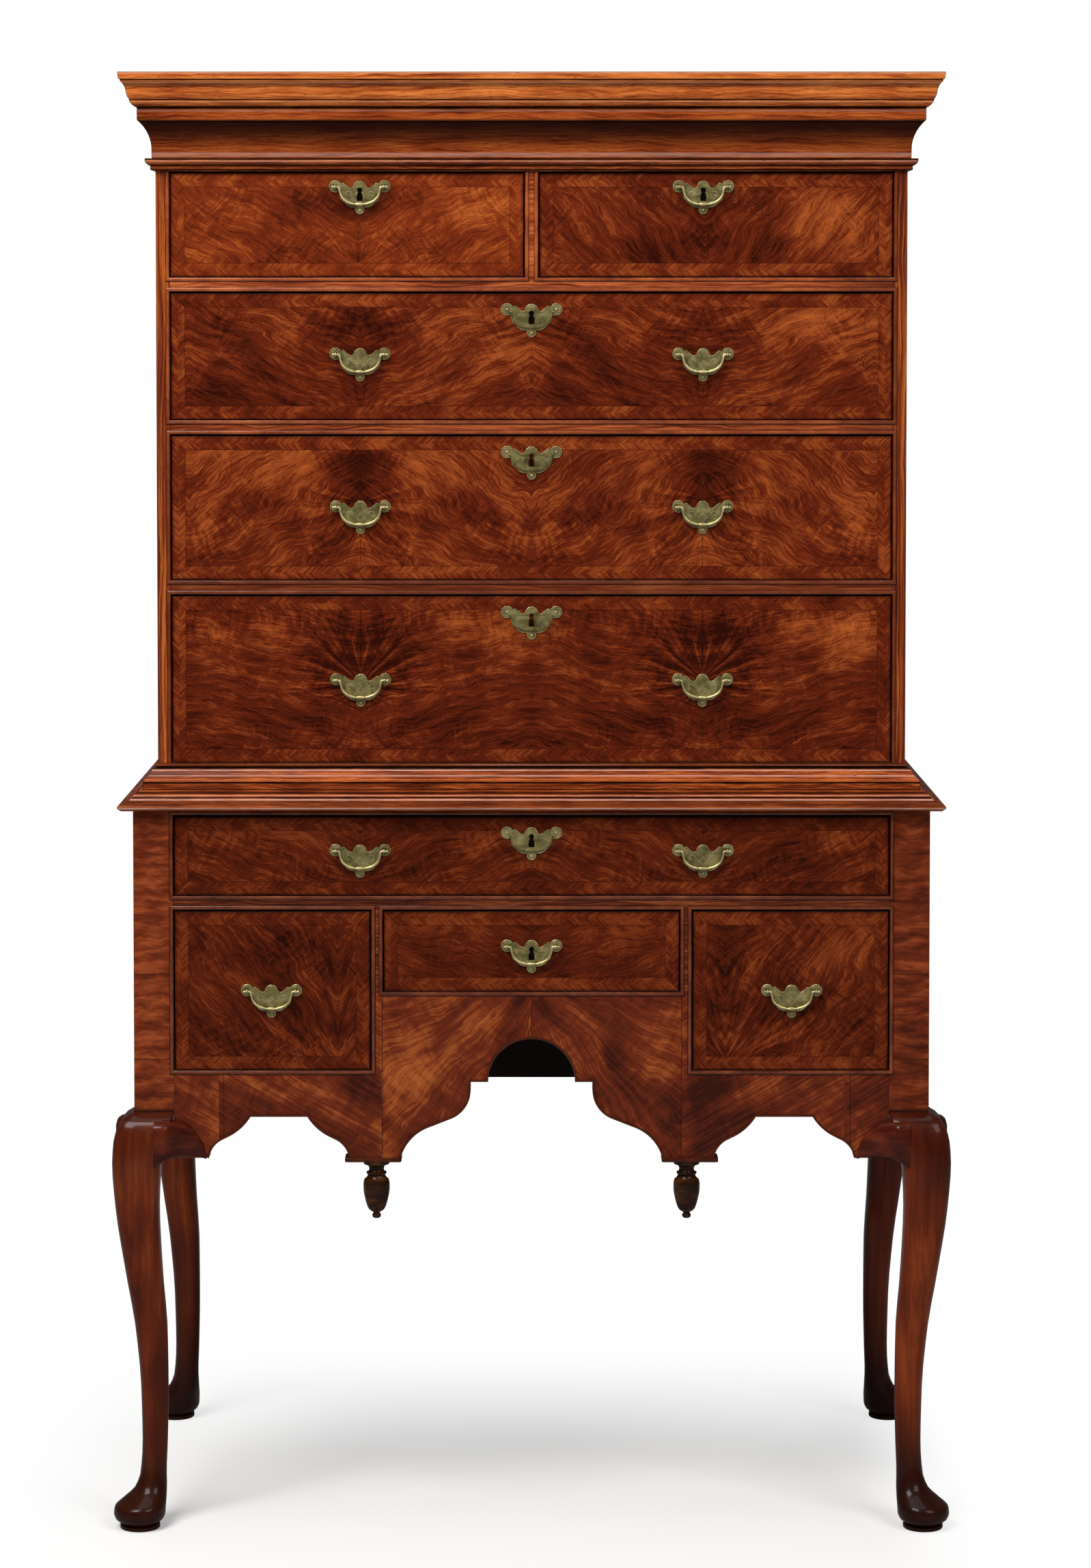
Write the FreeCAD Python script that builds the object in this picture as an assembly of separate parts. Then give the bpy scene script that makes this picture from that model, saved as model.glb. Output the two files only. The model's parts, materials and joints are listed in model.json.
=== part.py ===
"""A highboy: a veneered high chest of nine drawers on a low stand with cabriole legs.

Millimetres.  +Z is up, the fronts of the drawers face -Y, and +X is to the right as one
stands before the chest.  The origin is on the floor, under the middle of the chest.  Every
file in parts/ holds one sub-part, and each separate piece of wood or brass in it is a solid.
"""
import FreeCAD, Part
import os
from math import atan2, ceil, cos, pi, radians, sin, sqrt, tan

V = FreeCAD.Vector

# ---- Heights from the floor up ------------------------------------------------------
SKIRT_Z = 450.0              # lowest edge of the apron
APRON_STRIP = 56.2           # wood between the scallops and the sill of the two deep drawers
DEEP_OPENING = 193.5
CENTER_OPENING = 98.5        # the shallow drawer over the arch hangs from the same rail
LONG_OPENING = 96.8
RAIL = 17.2                  # height of every rail between drawers
HEAD_RAIL = 6.0              # the lip of the top rail above the long drawer
SEAT_FRAME = 32.5            # frame on the posts that the upper case stands on
UPPER_FLOOR = 21.1           # bottom board of the upper case
UPPER_OPENINGS = (202.8, 174.8, 153.4, 126.1)
FRIEZE = 116.2               # from the top opening to the top of the chest

# ---- Widths and depths ---------------------------------------------------------------
UPPER_HALF = 448.7           # half the width of the upper case
UPPER_DEPTH = 472.0
SETBACK = 28.0               # how far the upper case stands in from the lower one
POST = 48.2                  # square posts of the lower case, in one piece with the legs
SIDE_BOARD = 16.4
RAIL_DEPTH = 70.0
BACK_BOARD = 12.0
TOP_BOARD = 18.0
DIVIDER = 16.4               # upright between the two top drawers
PARTITION = 14.0             # uprights between the three lower drawers
PARTITION_X = 185.0
APRON_BOARD = 20.0
PLANKS_AT_BACK = 4
CASE_RUNNER = 22.0
RUNNER_HEIGHT = 14.0
GUIDE_HEIGHT = 12.0

# ---- Drawers -------------------------------------------------------------------------
FRONT_BOARD = 19.0
DRAWER_SIDE = 12.0
DRAWER_BACK = 12.0
DRAWER_BOTTOM = 9.0
GAP_SIDE = 1.5               # clearance between a drawer front and its opening
GAP_TOP = 2.2
GAP_SILL = 0.6
RUN_GAP = 0.3                # drawer over its runners
GAP_BACK = 6.0
SIDE_DROP = 4.0              # drawer sides stand this much below the top of the front
LAP = 5.0                    # wood left in front of the half-blind dovetails
TAIL_PITCH = 60.0
TAIL_SLOPE = 2.2             # how much each flank of a tail spreads over its length

# ---- Mouldings -----------------------------------------------------------------------
BEAD = 5.2                   # width of the half-round bead round every drawer
BEAD_RISE = 1.7
BASE_BEAD_RISE = 4.2
BEAD_FLATS = 4               # flats that stand for the round of a bead
CROWN_FASCIA = 41.0          # projections are from the face of the upper case
CROWN_FASCIA_HEIGHT = 8.5
CROWN_FILLET = 38.0
CROWN_HEIGHT = 41.5
CYMA_HEIGHT = 20.5
CROWN_BAND = 28.3
OVOLO_HEIGHT = 7.3
COVE_FACE = 20.0
COVE_FASCIA_HEIGHT = 14.5
COVE_HEIGHT = 45.0
COVE_FOOT = 4.0
COVE_STRAIGHT = 13.5         # nearly upright run at the foot of the cove
NECK_FILLET = 11.7
NECK_FOOT = 5.6
WAIST_TOP = 15.6             # the waist moulding stands this much above the seat frame
WAIST_UPPER = 16.7           # projections of the waist moulding's two stages
WAIST_LOWER = 45.1
COCK_BEAD = 2.5              # strip nailed round the lower edge of the apron
COCK_PROUD = 2.0

# ---- Apron ---------------------------------------------------------------------------
ARCH_HALF = 52.0
ARCH_STEP = 8.0              # the arch springs this much above the ogees beside it
PLATFORM_IN = 157.0          # flat places over the drop finials
PLATFORM_OUT = 219.0
SCALLOP_END = 387.0
# Each ogee of the edge as steps from its foot: across, up, and how far the arc stands off.
OGEE = ((36.0, 37.8, 6.6), (26.0, 10.2, 0), (22.0, 36.0, -6.5))
SCALLOP = ((15.0, 21.5, 3.1), (10.0, 4.9, 0), (25.0, 23.4, -2.3))
SAWN_FLAT = 12.0             # longest flat along a sawn curve
SIDE_SKIRT_END = 160.0       # the side skirts run flat from here to the posts
PLATFORM_PLATE = 4.7
PLATFORM_REACH = 5.0
PLATE_BACK = 28.0

# ---- Legs ----------------------------------------------------------------------------
# Height, outer and inner faces measured outward from the faces of the lower case, and the
# exponent of the superellipse that rounds the section, 2 being a circle.  The foot is turned
# out along the diagonal and stands on a thin disc.
LEG_SECTIONS = (
    (505.0, 0.0, -POST, 24.0),
    (500.0, 11.0, -47.0, 10.0),
    (490.0, 18.8, -44.0, 6.0),
    (471.5, 24.5, -38.0, 4.2),
    (445.0, 26.3, -32.5, 3.6),
    (391.0, 22.7, -29.6, 3.2),
    (311.0, 11.8, -32.6, 2.7),
    (238.0, 0.9, -37.4, 2.3),
    (166.0, -4.9, -38.1, 2.0),
    (82.0, -5.4, -36.4, 2.0),
    (45.6, 2.7, -36.0, 2.0),
    (34.7, 15.4, -36.0, 2.0),
    (25.6, 26.0, -35.6, 2.0),
    (18.0, 27.0, -35.2, 2.0),
    (11.0, 24.3, -32.4, 2.0),
    (5.6, 17.2, -26.4, 2.0),
    (5.0, 19.4, -28.6, 2.0),
    (0.0, 19.4, -28.6, 2.0),
)
KNEE_RISE = 55.0             # the knee goes over into the post this much above the skirt
LEG_FLATS = 12               # flats round a leg
BRACKET_TIP = 86.5           # reach of a knee bracket from the face of the case
BRACKET_TOP = 48.0           # its height above the skirt
BRACKET_ROOT = 25.0          # a bracket runs in behind the knee to here
BRACKET_SADDLE = 16.0        # level run at its top
BRACKET_HOLLOW = 13.0        # how far its top edge sinks below a straight line to the tip
BRACKET_ROOT_DROP = 14.0     # its foot at the root, below the skirt
# From the tip: across, and how far the face stands proud of the apron there.
BRACKET_PLAN = ((0.0, 3.0), (15.0, 14.0), (30.0, 21.1), (48.0, 24.5))
# From the tip: across, and the height of the foot above the skirt.
BRACKET_FOOT = ((0.0, -1.0), (23.0, 3.0), (46.0, 0.0))

# ---- Drop finials --------------------------------------------------------------------
FINIAL_X = 186.5
FINIAL_Y = 12.0              # behind the face of the lower case
# Depth below the plate and radius at each turned station.
FINIAL_TURNING = (
    (0.0, 15.5), (4.5, 15.5), (11.0, 9.0), (14.8, 12.1), (17.0, 10.5), (21.0, 13.8), (27.0, 15.7),
    (36.0, 15.7), (45.0, 14.2), (56.4, 11.2), (63.0, 5.0), (64.6, 3.9), (66.5, 5.0), (70.3, 2.0),
)
FINIAL_FLATS = 10            # flats round a finial

# ---- Brasses -------------------------------------------------------------------------
PLATE = 1.2                  # thickness of the plates
LOBE_X = 29.3                # centre of the two ears of a plate
LOBE_Z = 12.9
LOBE_R = 7.4
CREST_R = 7.75
CREST_Z = 11.9
TAB_R = 5.5
TAB_Z = -14.8
PIN_Z = 11.9                 # hinge line of the bail above the middle of its plate
PIN_OUT = 4.2                # hinge line in front of the plate
PIN_R = 1.5
PIN_CLEARANCE = 0.08
PIN_END = 33.3
EYE_X = 29.0
EYE_WIRE = 1.2
EYE_WIDTH = 2.2
EYE_NOSE = pi / 6            # the eye's nose is round this far above and below the hinge line
CLINCH = 5.0
BAIL_HALF = 24.1             # centre line of the bail
BAIL_DROP = 18.6
BAIL_THICK = 2.8
KEYHOLE_Z = 1.5
KEYHOLE_R = 2.6
KEYHOLE_SLOT = 2.6
KEYHOLE_DROP = 8.5
LOCK_WIDTH = 46.0
LOCK_HEIGHT = 34.0
LOCK_DEPTH = 10.0
LOCK_FOOT = 12.0             # lock below the keyhole
HANDLE_X = 205.0
ESCUTCHEON_DROP = 34.0       # keyhole plate below the top of its drawer
HANDLE_SHARE = 0.433         # height of a handle in its drawer
TOP_HANDLE_DROP = 30.6
SMALL_HANDLE_X = 311.5
FIT = 0.1                    # a brass in its hole

# ---- Places that follow --------------------------------------------------------------
LOWER_HALF = UPPER_HALF + SETBACK
UPPER_FRONT = SETBACK - (UPPER_DEPTH + SETBACK) / 2
LOWER_FRONT = UPPER_FRONT - SETBACK
BACK = UPPER_FRONT + UPPER_DEPTH
POST_IN = LOWER_HALF - POST
UPPER_IN = UPPER_HALF - SIDE_BOARD
POST_BACK = LOWER_FRONT + POST
DEEP_SILL = SKIRT_Z + sum(step[1] for step in SCALLOP) + APRON_STRIP
KNEE_TOP = SKIRT_Z + KNEE_RISE
ARCH_SPRING = SKIRT_Z + sum(step[1] for step in OGEE) + ARCH_STEP
LOWER_RAIL_Z = DEEP_SILL + DEEP_OPENING
CENTER_SILL = LOWER_RAIL_Z - CENTER_OPENING
LONG_SILL = LOWER_RAIL_Z + RAIL
LOWER_TOP = LONG_SILL + LONG_OPENING + HEAD_RAIL
SEAT = LOWER_TOP + SEAT_FRAME
UPPER_SILLS = [SEAT + UPPER_FLOOR]
for height in UPPER_OPENINGS[:-1]:
    UPPER_SILLS.append(UPPER_SILLS[-1] + height + RAIL)
FRIEZE_Z = UPPER_SILLS[-1] + UPPER_OPENINGS[-1]
TOP = FRIEZE_Z + FRIEZE
APRON_BACK = LOWER_FRONT + APRON_BOARD
UPPER_BACK_IN = BACK - BACK_BOARD
LOWER_BACK_IN = BACK - BACK_BOARD - 6.0


# ---- Drawing helpers -----------------------------------------------------------------
def box(x0, x1, y0, y1, z0, z1):
    return Part.makeBox(x1 - x0, y1 - y0, z1 - z0, V(x0, y0, z0))


def both_sides(shape):
    """A shape and its mirror image across the middle of the chest."""
    return [shape, shape.mirror(V(0, 0, 0), V(1, 0, 0))]


def on_front(y):
    """Places (x, z) points on an upright plane that faces the front."""
    return lambda x, z: V(x, y, z)


def on_side(x):
    """Places (y, z) points on an upright plane that faces the side."""
    return lambda y, z: V(x, y, z)


def on_level(z):
    """Places (x, y) points on a level plane."""
    return lambda x, y: V(x, y, z)


class Outline:
    """A closed outline of straight runs and arcs, drawn in a plane from point to point."""

    def __init__(self, place, start):
        self.place = place
        self.start = start
        self.here = start
        self.edges = []

    def line(self, *points):
        for point in points:
            if point == self.here:
                continue
            ends = self.place(*self.here), self.place(*point)
            self.edges.append(Part.LineSegment(*ends).toShape())
            self.here = point
        return self

    def bow(self, end, sagitta):
        """An arc that stands off its chord by sagitta, to the left of the way it runs."""
        across, up = end[0] - self.here[0], end[1] - self.here[1]
        reach = sagitta / sqrt(across ** 2 + up ** 2)
        middle = ((self.here[0] + end[0]) / 2 - up * reach, (self.here[1] + end[1]) / 2 + across * reach)
        points = [self.place(*point) for point in (self.here, middle, end)]
        self.edges.append(Part.Arc(*points).toShape())
        self.here = end
        return self

    def flats(self, end, sagitta):
        """The same arc sawn as flats."""
        start = self.here
        across, up = end[0] - start[0], end[1] - start[1]
        chord = sqrt(across ** 2 + up ** 2)
        half_turn = 2 * atan2(2 * sagitta, chord)
        count = ceil(chord * half_turn / sin(half_turn) / SAWN_FLAT)
        for step in range(1, count):
            # Where the chord from the start to this corner ends on the arc.
            turn = half_turn * step / count
            length = chord * sin(turn) / sin(half_turn)
            tilt = half_turn - turn
            along, off = length * cos(tilt) / chord, length * sin(tilt) / chord
            self.line((start[0] + across * along - up * off, start[1] + up * along + across * off))
        return self.line(end)

    def wire(self):
        return Part.Wire(self.edges)

    def face(self):
        self.line(self.start)
        return Part.Face(self.wire())

    def solid(self, depth):
        return self.face().extrude(depth)


def joined(shape, others):
    """Shapes glued into one piece of wood or metal."""
    return shape.fuse(others).removeSplitter().Solids[0]


def polygon(place, points, depth):
    return Outline(place, points[0]).line(*points[1:]).solid(depth)


def skinned(rings):
    """A solid with flat faces between rings of points, each ring one section of it."""
    faces = [Part.Face(Part.makePolygon(ring + ring[:1])) for ring in (rings[0], rings[-1])]
    for low, high in zip(rings, rings[1:]):
        for step in range(len(low)):
            a, b, c, d = low[step - 1], low[step], high[step], high[step - 1]
            off_plane = (b - a).cross(d - a).normalize().dot(c - a)
            corners = [[a, b, c, d]] if abs(off_plane) < 1e-7 else [[a, b, c], [a, c, d]]
            faces += [Part.Face(Part.makePolygon(points + points[:1])) for points in corners]
    solid = Part.makeSolid(Part.makeShell(faces))
    return solid if solid.Volume > 0 else solid.reversed()


def moulded(profile, half, front, back, reach):
    """Three lengths of a moulding round the front and sides of a case, mitred at the corners.

    profile(place) draws the section downward as (projection, height) points, so that a bow
    with a positive sagitta swells outward and one with a negative sagitta is a hollow.
    """
    span = 2 * (half + reach)
    low, high = SKIRT_Z, TOP + reach
    mitre = [(half, front), (half + reach, front - reach)]
    front_wedge = polygon(on_level(low), mitre + [(-x, y) for x, y in reversed(mitre)], V(0, 0, high - low))
    side_wedge = polygon(on_level(low), mitre + [(half + reach, back), (half, back)], V(0, 0, high - low))
    front_run = profile(lambda p, z: V(-half - reach, front - p, z)).solid(V(span, 0, 0))
    side_run = profile(lambda p, z: V(half + p, front - reach, z)).solid(V(0, back - front + reach, 0))
    side = side_run.common(side_wedge)
    return [front_run.common(front_wedge)] + both_sides(side)


# ---- Mouldings -----------------------------------------------------------------------
def crown_moulding():
    bottom = TOP - CROWN_HEIGHT
    cyma_top = TOP - CROWN_FASCIA_HEIGHT - 3.0
    cyma_mid = ((CROWN_FILLET + CROWN_BAND) / 2 - 1.1, cyma_top - CYMA_HEIGHT / 2)

    def profile(place):
        outline = Outline(place, (0, TOP)).line((CROWN_FASCIA, TOP))
        outline.line((CROWN_FASCIA - 1, TOP - CROWN_FASCIA_HEIGHT), (CROWN_FILLET, TOP - CROWN_FASCIA_HEIGHT))
        outline.line((CROWN_FILLET, cyma_top), (CROWN_FILLET - 0.7, cyma_top))
        outline.bow(cyma_mid, -0.9).bow((CROWN_BAND, cyma_top - CYMA_HEIGHT), 0.8)
        outline.line((CROWN_BAND - 0.3, bottom + OVOLO_HEIGHT)).bow((COVE_FACE, bottom), 1.0)
        return outline.line((0, bottom))

    return moulded(profile, UPPER_HALF, UPPER_FRONT, BACK, CROWN_FASCIA)


def cove_moulding():
    top = TOP - CROWN_HEIGHT
    bottom = top - COVE_FASCIA_HEIGHT - COVE_HEIGHT

    def profile(place):
        outline = Outline(place, (0, top)).line((COVE_FACE, top), (COVE_FACE, top - COVE_FASCIA_HEIGHT))
        outline.bow((COVE_FOOT + 0.3, bottom + COVE_STRAIGHT), -3.6)
        return outline.line((COVE_FOOT, bottom), (0, bottom))

    return moulded(profile, UPPER_HALF, UPPER_FRONT, BACK, CROWN_FASCIA)


def neck_moulding():
    top = TOP - CROWN_HEIGHT - COVE_FASCIA_HEIGHT - COVE_HEIGHT
    bottom = FRIEZE_Z + 1.6

    def profile(place):
        outline = Outline(place, (0, top)).line((NECK_FILLET, top), (NECK_FILLET, top - 3.5))
        outline.bow((NECK_FOOT + 0.4, top - 8.8), 0.8)
        return outline.line((NECK_FOOT, top - 8.8), (NECK_FOOT, bottom), (0, bottom))

    return moulded(profile, UPPER_HALF, UPPER_FRONT, BACK, CROWN_FASCIA)


def waist_moulding():
    """The two-stage moulding that is fixed to the lower case and takes in the upper one."""
    top = SEAT + WAIST_TOP
    step = SEAT - 9.5
    tip = LOWER_TOP + 5.4

    def profile(place):
        outline = Outline(place, (0, top)).line((6.3, top))
        outline.bow((WAIST_UPPER - 1.4, top - 12.8), -1.3)
        outline.line((WAIST_UPPER, top - 15.7), (WAIST_UPPER, step))
        outline.bow((WAIST_UPPER + 11.4, step - 5.8), 1.0).line((WAIST_UPPER + 12.2, step - 8.0))
        outline.bow((WAIST_LOWER - 3.0, tip + 2.1), -1.1)
        outline.bow((WAIST_LOWER, tip), 0.6).line((WAIST_LOWER, LOWER_TOP + 3.4))
        return outline.line((WAIST_LOWER - 4.5, LOWER_TOP), (0, LOWER_TOP))

    return moulded(profile, UPPER_HALF, UPPER_FRONT, BACK, WAIST_LOWER)


def half_round(width, rise):
    """Points over the top of a small bead, as (across, up) from its two edges."""
    angles = [pi * step / BEAD_FLATS for step in range(BEAD_FLATS + 1)]
    return [(width / 2 * (1 - cos(angle)), rise * sin(angle)) for angle in angles]


def bead_frame(x0, x1, z0, z1, y, sides):
    """Half-round beads mitred round a drawer opening.  sides names the lengths it has."""
    out = BEAD
    # An upright bead is mitred to a level one, or else ends square against the next moulding.
    foot = z0 - out if "bottom" in sides else z0
    head = z1 + out if "top" in sides else z1
    corners = {
        "bottom": [(x0, z0), (x1, z0), (x1 + out, z0 - out), (x0 - out, z0 - out)],
        "top": [(x0, z1), (x1, z1), (x1 + out, z1 + out), (x0 - out, z1 + out)],
        "left": [(x0, z0), (x0, z1), (x0 - out, head), (x0 - out, foot)],
        "right": [(x1, z0), (x1, z1), (x1 + out, head), (x1 + out, foot)],
    }
    runs = {
        "bottom": (lambda w, h: V(x0 - out, y - h, z0 - w), V(x1 - x0 + 2 * out, 0, 0)),
        "top": (lambda w, h: V(x0 - out, y - h, z1 + w), V(x1 - x0 + 2 * out, 0, 0)),
        "left": (lambda w, h: V(x0 - w, y - h, z0 - out), V(0, 0, z1 - z0 + 2 * out)),
        "right": (lambda w, h: V(x1 + w, y - h, z0 - out), V(0, 0, z1 - z0 + 2 * out)),
    }
    lengths = []
    for side in sides:
        place, run = runs[side]
        length = polygon(place, half_round(out, BEAD_RISE), run)
        mitres = polygon(on_front(y - 2 * BEAD_RISE), corners[side], V(0, 2 * BEAD_RISE, 0))
        lengths.append(length.common(mitres))
    return lengths


def bead_mouldings():
    """The beads round the drawers, and the heavier bead along the foot of the upper case."""
    beads = []
    for drawer in DRAWERS:
        beads += bead_frame(drawer.x0, drawer.x1, drawer.sill, drawer.top, drawer.face, drawer.beads)
    top = UPPER_SILLS[0]

    def profile(place):
        points = [(height, top - width) for width, height in half_round(BEAD, BASE_BEAD_RISE)]
        return Outline(place, points[0]).line(*points[1:])

    return beads + moulded(profile, UPPER_HALF, UPPER_FRONT, BACK, BASE_BEAD_RISE)


# ---- Upper case ----------------------------------------------------------------------
def upper_side_boards():
    board = box(UPPER_IN, UPPER_HALF, UPPER_FRONT, BACK, SEAT, TOP - TOP_BOARD)
    return both_sides(board)


def upper_top_board():
    return [box(-UPPER_HALF, UPPER_HALF, UPPER_FRONT, BACK, TOP - TOP_BOARD, TOP)]


def upper_bottom_board():
    return [box(-UPPER_IN, UPPER_IN, UPPER_FRONT, UPPER_BACK_IN, SEAT, UPPER_SILLS[0])]


def back_boards():
    """Level planks behind the upper case and one board between the rear posts."""
    height = (TOP - TOP_BOARD - SEAT) / PLANKS_AT_BACK
    planks = []
    for count in range(PLANKS_AT_BACK):
        foot = SEAT + count * height
        planks.append(box(-UPPER_IN, UPPER_IN, UPPER_BACK_IN, BACK, foot, foot + height))
    lower = box(-POST_IN, POST_IN, LOWER_BACK_IN, LOWER_BACK_IN + BACK_BOARD, SKIRT_Z + 6.0, LOWER_TOP)
    return planks + [lower]


def upper_rails():
    rails = []
    for sill in UPPER_SILLS[1:]:
        rails.append(box(-UPPER_IN, UPPER_IN, UPPER_FRONT, UPPER_FRONT + RAIL_DEPTH, sill - RAIL, sill))
    divider = box(-DIVIDER / 2, DIVIDER / 2, UPPER_FRONT, UPPER_FRONT + RAIL_DEPTH, UPPER_SILLS[-1], FRIEZE_Z)
    frieze = box(-UPPER_IN, UPPER_IN, UPPER_FRONT, UPPER_FRONT + FRONT_BOARD, FRIEZE_Z, TOP - TOP_BOARD)
    return rails + [divider, frieze]


def runner(x0, x1, y0, y1, sill):
    """A strip that a drawer slides on, its top a running clearance under the drawer."""
    top = sill + GAP_SILL - RUN_GAP
    return box(x0, x1, y0, y1, top - RUNNER_HEIGHT, top)


def drawer_runners():
    runners = []
    rail_back = UPPER_FRONT + RAIL_DEPTH
    for sill in UPPER_SILLS[1:]:
        strip = runner(UPPER_IN - CASE_RUNNER, UPPER_IN, rail_back, UPPER_BACK_IN, sill)
        runners += both_sides(strip)
    top_sill = UPPER_SILLS[-1]
    middle = runner(-30, 30, rail_back, UPPER_BACK_IN, top_sill)
    guide = box(-DIVIDER / 2, DIVIDER / 2, rail_back, UPPER_BACK_IN, top_sill, top_sill + GUIDE_HEIGHT)
    runners.append(joined(middle, guide))
    board_in = LOWER_HALF - SIDE_BOARD
    for sill, start in ((LONG_SILL, LOWER_FRONT + RAIL_DEPTH), (DEEP_SILL, POST_BACK)):
        strip = runner(POST_IN - CASE_RUNNER, board_in, start, -POST_BACK, sill)
        guide = box(POST_IN, board_in, start, -POST_BACK, sill, sill + GUIDE_HEIGHT)
        runners += both_sides(joined(strip, guide))
    outer, inner = PARTITION_X + PARTITION / 2, PARTITION_X - PARTITION / 2
    runners += both_sides(runner(outer, outer + CASE_RUNNER, APRON_BACK, LOWER_BACK_IN, DEEP_SILL))
    runners += both_sides(runner(inner - CASE_RUNNER, inner, APRON_BACK, LOWER_BACK_IN, CENTER_SILL))
    return runners


# ---- Lower case ----------------------------------------------------------------------
def trace(outline, steps, down=False):
    """Runs an ogee from its foot up to the right, or from its top down to the right."""
    for across, up, sagitta in (reversed(steps) if down else steps):
        end = (outline.here[0] + across, outline.here[1] + (-up if down else up))
        if sagitta:
            outline.flats(end, sagitta)
        else:
            outline.line(end)
    return outline


def scallop(outline, start, end):
    """The lower edge from one foot over a flat-topped scallop to the next foot."""
    outline.line((start, SKIRT_Z))
    trace(outline, SCALLOP)
    half_across = sum(step[0] for step in SCALLOP)
    outline.line((end - half_across, outline.here[1]))
    return trace(outline, SCALLOP, down=True)


def arch(outline):
    """The lower edge from the left platform over the arch to the right one."""
    outline.line((-PLATFORM_IN, SKIRT_Z))
    trace(outline, OGEE)
    shoulder = -outline.here[0]
    outline.line((-shoulder, ARCH_SPRING), (-ARCH_HALF, ARCH_SPRING))
    outline.flats((ARCH_HALF, ARCH_SPRING), ARCH_HALF)
    outline.line((shoulder, ARCH_SPRING), (shoulder, ARCH_SPRING - ARCH_STEP))
    return trace(outline, OGEE, down=True)


def lower_side_boards():
    """Boards between the posts, cut on the lower edge to match the front."""
    half = -POST_BACK
    outline = Outline(on_side(LOWER_HALF - SIDE_BOARD), (-half, LOWER_TOP)).line((-half, SKIRT_Z))
    scallop(outline, -SIDE_SKIRT_END, SIDE_SKIRT_END)
    outline.line((half, SKIRT_Z), (half, LOWER_TOP))
    return both_sides(outline.solid(V(SIDE_BOARD, 0, 0)))


def cock_bead(edge):
    """The strip let in along an edge of the apron, standing a little proud of its face."""
    strip = edge.wire().makeOffset2D(COCK_BEAD, 2, True, True)
    if strip.BoundBox.ZMax < edge.wire().BoundBox.ZMax + COCK_BEAD / 2:
        strip = edge.wire().makeOffset2D(-COCK_BEAD, 2, True, True)
    return strip.extrude(V(0, APRON_BOARD + COCK_PROUD, 0))


def front_apron():
    """The veneered apron board, its cock beads and the plates that the finials hang from."""
    step_x = PARTITION_X + PARTITION / 2
    outline = Outline(on_front(LOWER_FRONT), (-POST_IN, DEEP_SILL)).line((-POST_IN, SKIRT_Z))
    scallop(outline, -SCALLOP_END, -PLATFORM_OUT)
    arch(outline)
    scallop(outline, PLATFORM_OUT, SCALLOP_END)
    outline.line((POST_IN, SKIRT_Z), (POST_IN, DEEP_SILL), (step_x, DEEP_SILL), (step_x, CENTER_SILL))
    outline.line((-step_x, CENTER_SILL), (-step_x, DEEP_SILL))
    bead_place = on_front(LOWER_FRONT - COCK_PROUD)
    outer = cock_bead(scallop(Outline(bead_place, (PLATFORM_OUT, SKIRT_Z)), PLATFORM_OUT, SCALLOP_END))
    beads = both_sides(outer) + [cock_bead(arch(Outline(bead_place, (-PLATFORM_IN, SKIRT_Z))))]
    board = outline.solid(V(0, APRON_BOARD, 0)).cut(beads)
    plate = box(PLATFORM_IN - 1, PLATFORM_OUT + PLATFORM_REACH, LOWER_FRONT - PLATFORM_REACH + 1,
                LOWER_FRONT + PLATE_BACK, SKIRT_Z - PLATFORM_PLATE, SKIRT_Z)
    return [board] + beads + both_sides(plate)


def lower_rails_and_partitions():
    back_of_rail = LOWER_FRONT + RAIL_DEPTH
    middle_rail = box(-POST_IN, POST_IN, LOWER_FRONT, back_of_rail, LOWER_RAIL_Z, LONG_SILL)
    lip = box(-POST_IN, POST_IN, LOWER_FRONT, POST_BACK, LOWER_TOP - HEAD_RAIL, LOWER_TOP)
    seat_front = box(-UPPER_HALF, UPPER_HALF, UPPER_FRONT, UPPER_FRONT + POST, LOWER_TOP, SEAT)
    top_rail = joined(lip, seat_front)
    seat_back = box(-UPPER_HALF, UPPER_HALF, -POST_BACK, BACK, LOWER_TOP, SEAT)
    seat_side = box(UPPER_HALF - POST, UPPER_HALF, UPPER_FRONT + POST, -POST_BACK, LOWER_TOP, SEAT)
    x0, x1 = PARTITION_X - PARTITION / 2, PARTITION_X + PARTITION / 2
    board = box(x0, x1, APRON_BACK, LOWER_BACK_IN, DEEP_SILL - RUNNER_HEIGHT, LOWER_RAIL_Z)
    nose = box(x0, x1, LOWER_FRONT, APRON_BACK, CENTER_SILL, LOWER_RAIL_Z)
    partition = joined(board, nose)
    return [middle_rail, top_rail, seat_back] + both_sides(seat_side) + both_sides(partition)


# ---- Legs ----------------------------------------------------------------------------
def leg_section(z, outer, inner, exponent):
    """A level section through the front right leg, from nearly a square to a circle."""
    middle = (outer + inner) / 2
    angles = [2 * pi * (step + 0.5) / LEG_FLATS for step in range(LEG_FLATS)]
    reaches = [(abs(cos(a)) ** exponent + abs(sin(a)) ** exponent) ** (-1 / exponent) for a in angles]
    # The flats next to the axes reach the outer and inner faces.
    size = (outer - inner) / 2 / (reaches[0] * cos(angles[0]))
    points = []
    for angle, reach in zip(angles, reaches):
        points.append(V(LOWER_HALF + middle + size * reach * cos(angle),
                        LOWER_FRONT - middle + size * reach * sin(angle), z))
    return points


def leg():
    """The front right leg: post, knee, ankle and pad foot are one piece of wood."""
    rise = KNEE_TOP / LEG_SECTIONS[0][0]
    cabriole = skinned([leg_section(z * rise, *faces) for z, *faces in LEG_SECTIONS])
    post = box(POST_IN, LOWER_HALF, LOWER_FRONT, POST_BACK, KNEE_TOP, LOWER_TOP)
    return joined(post, cabriole)


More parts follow.
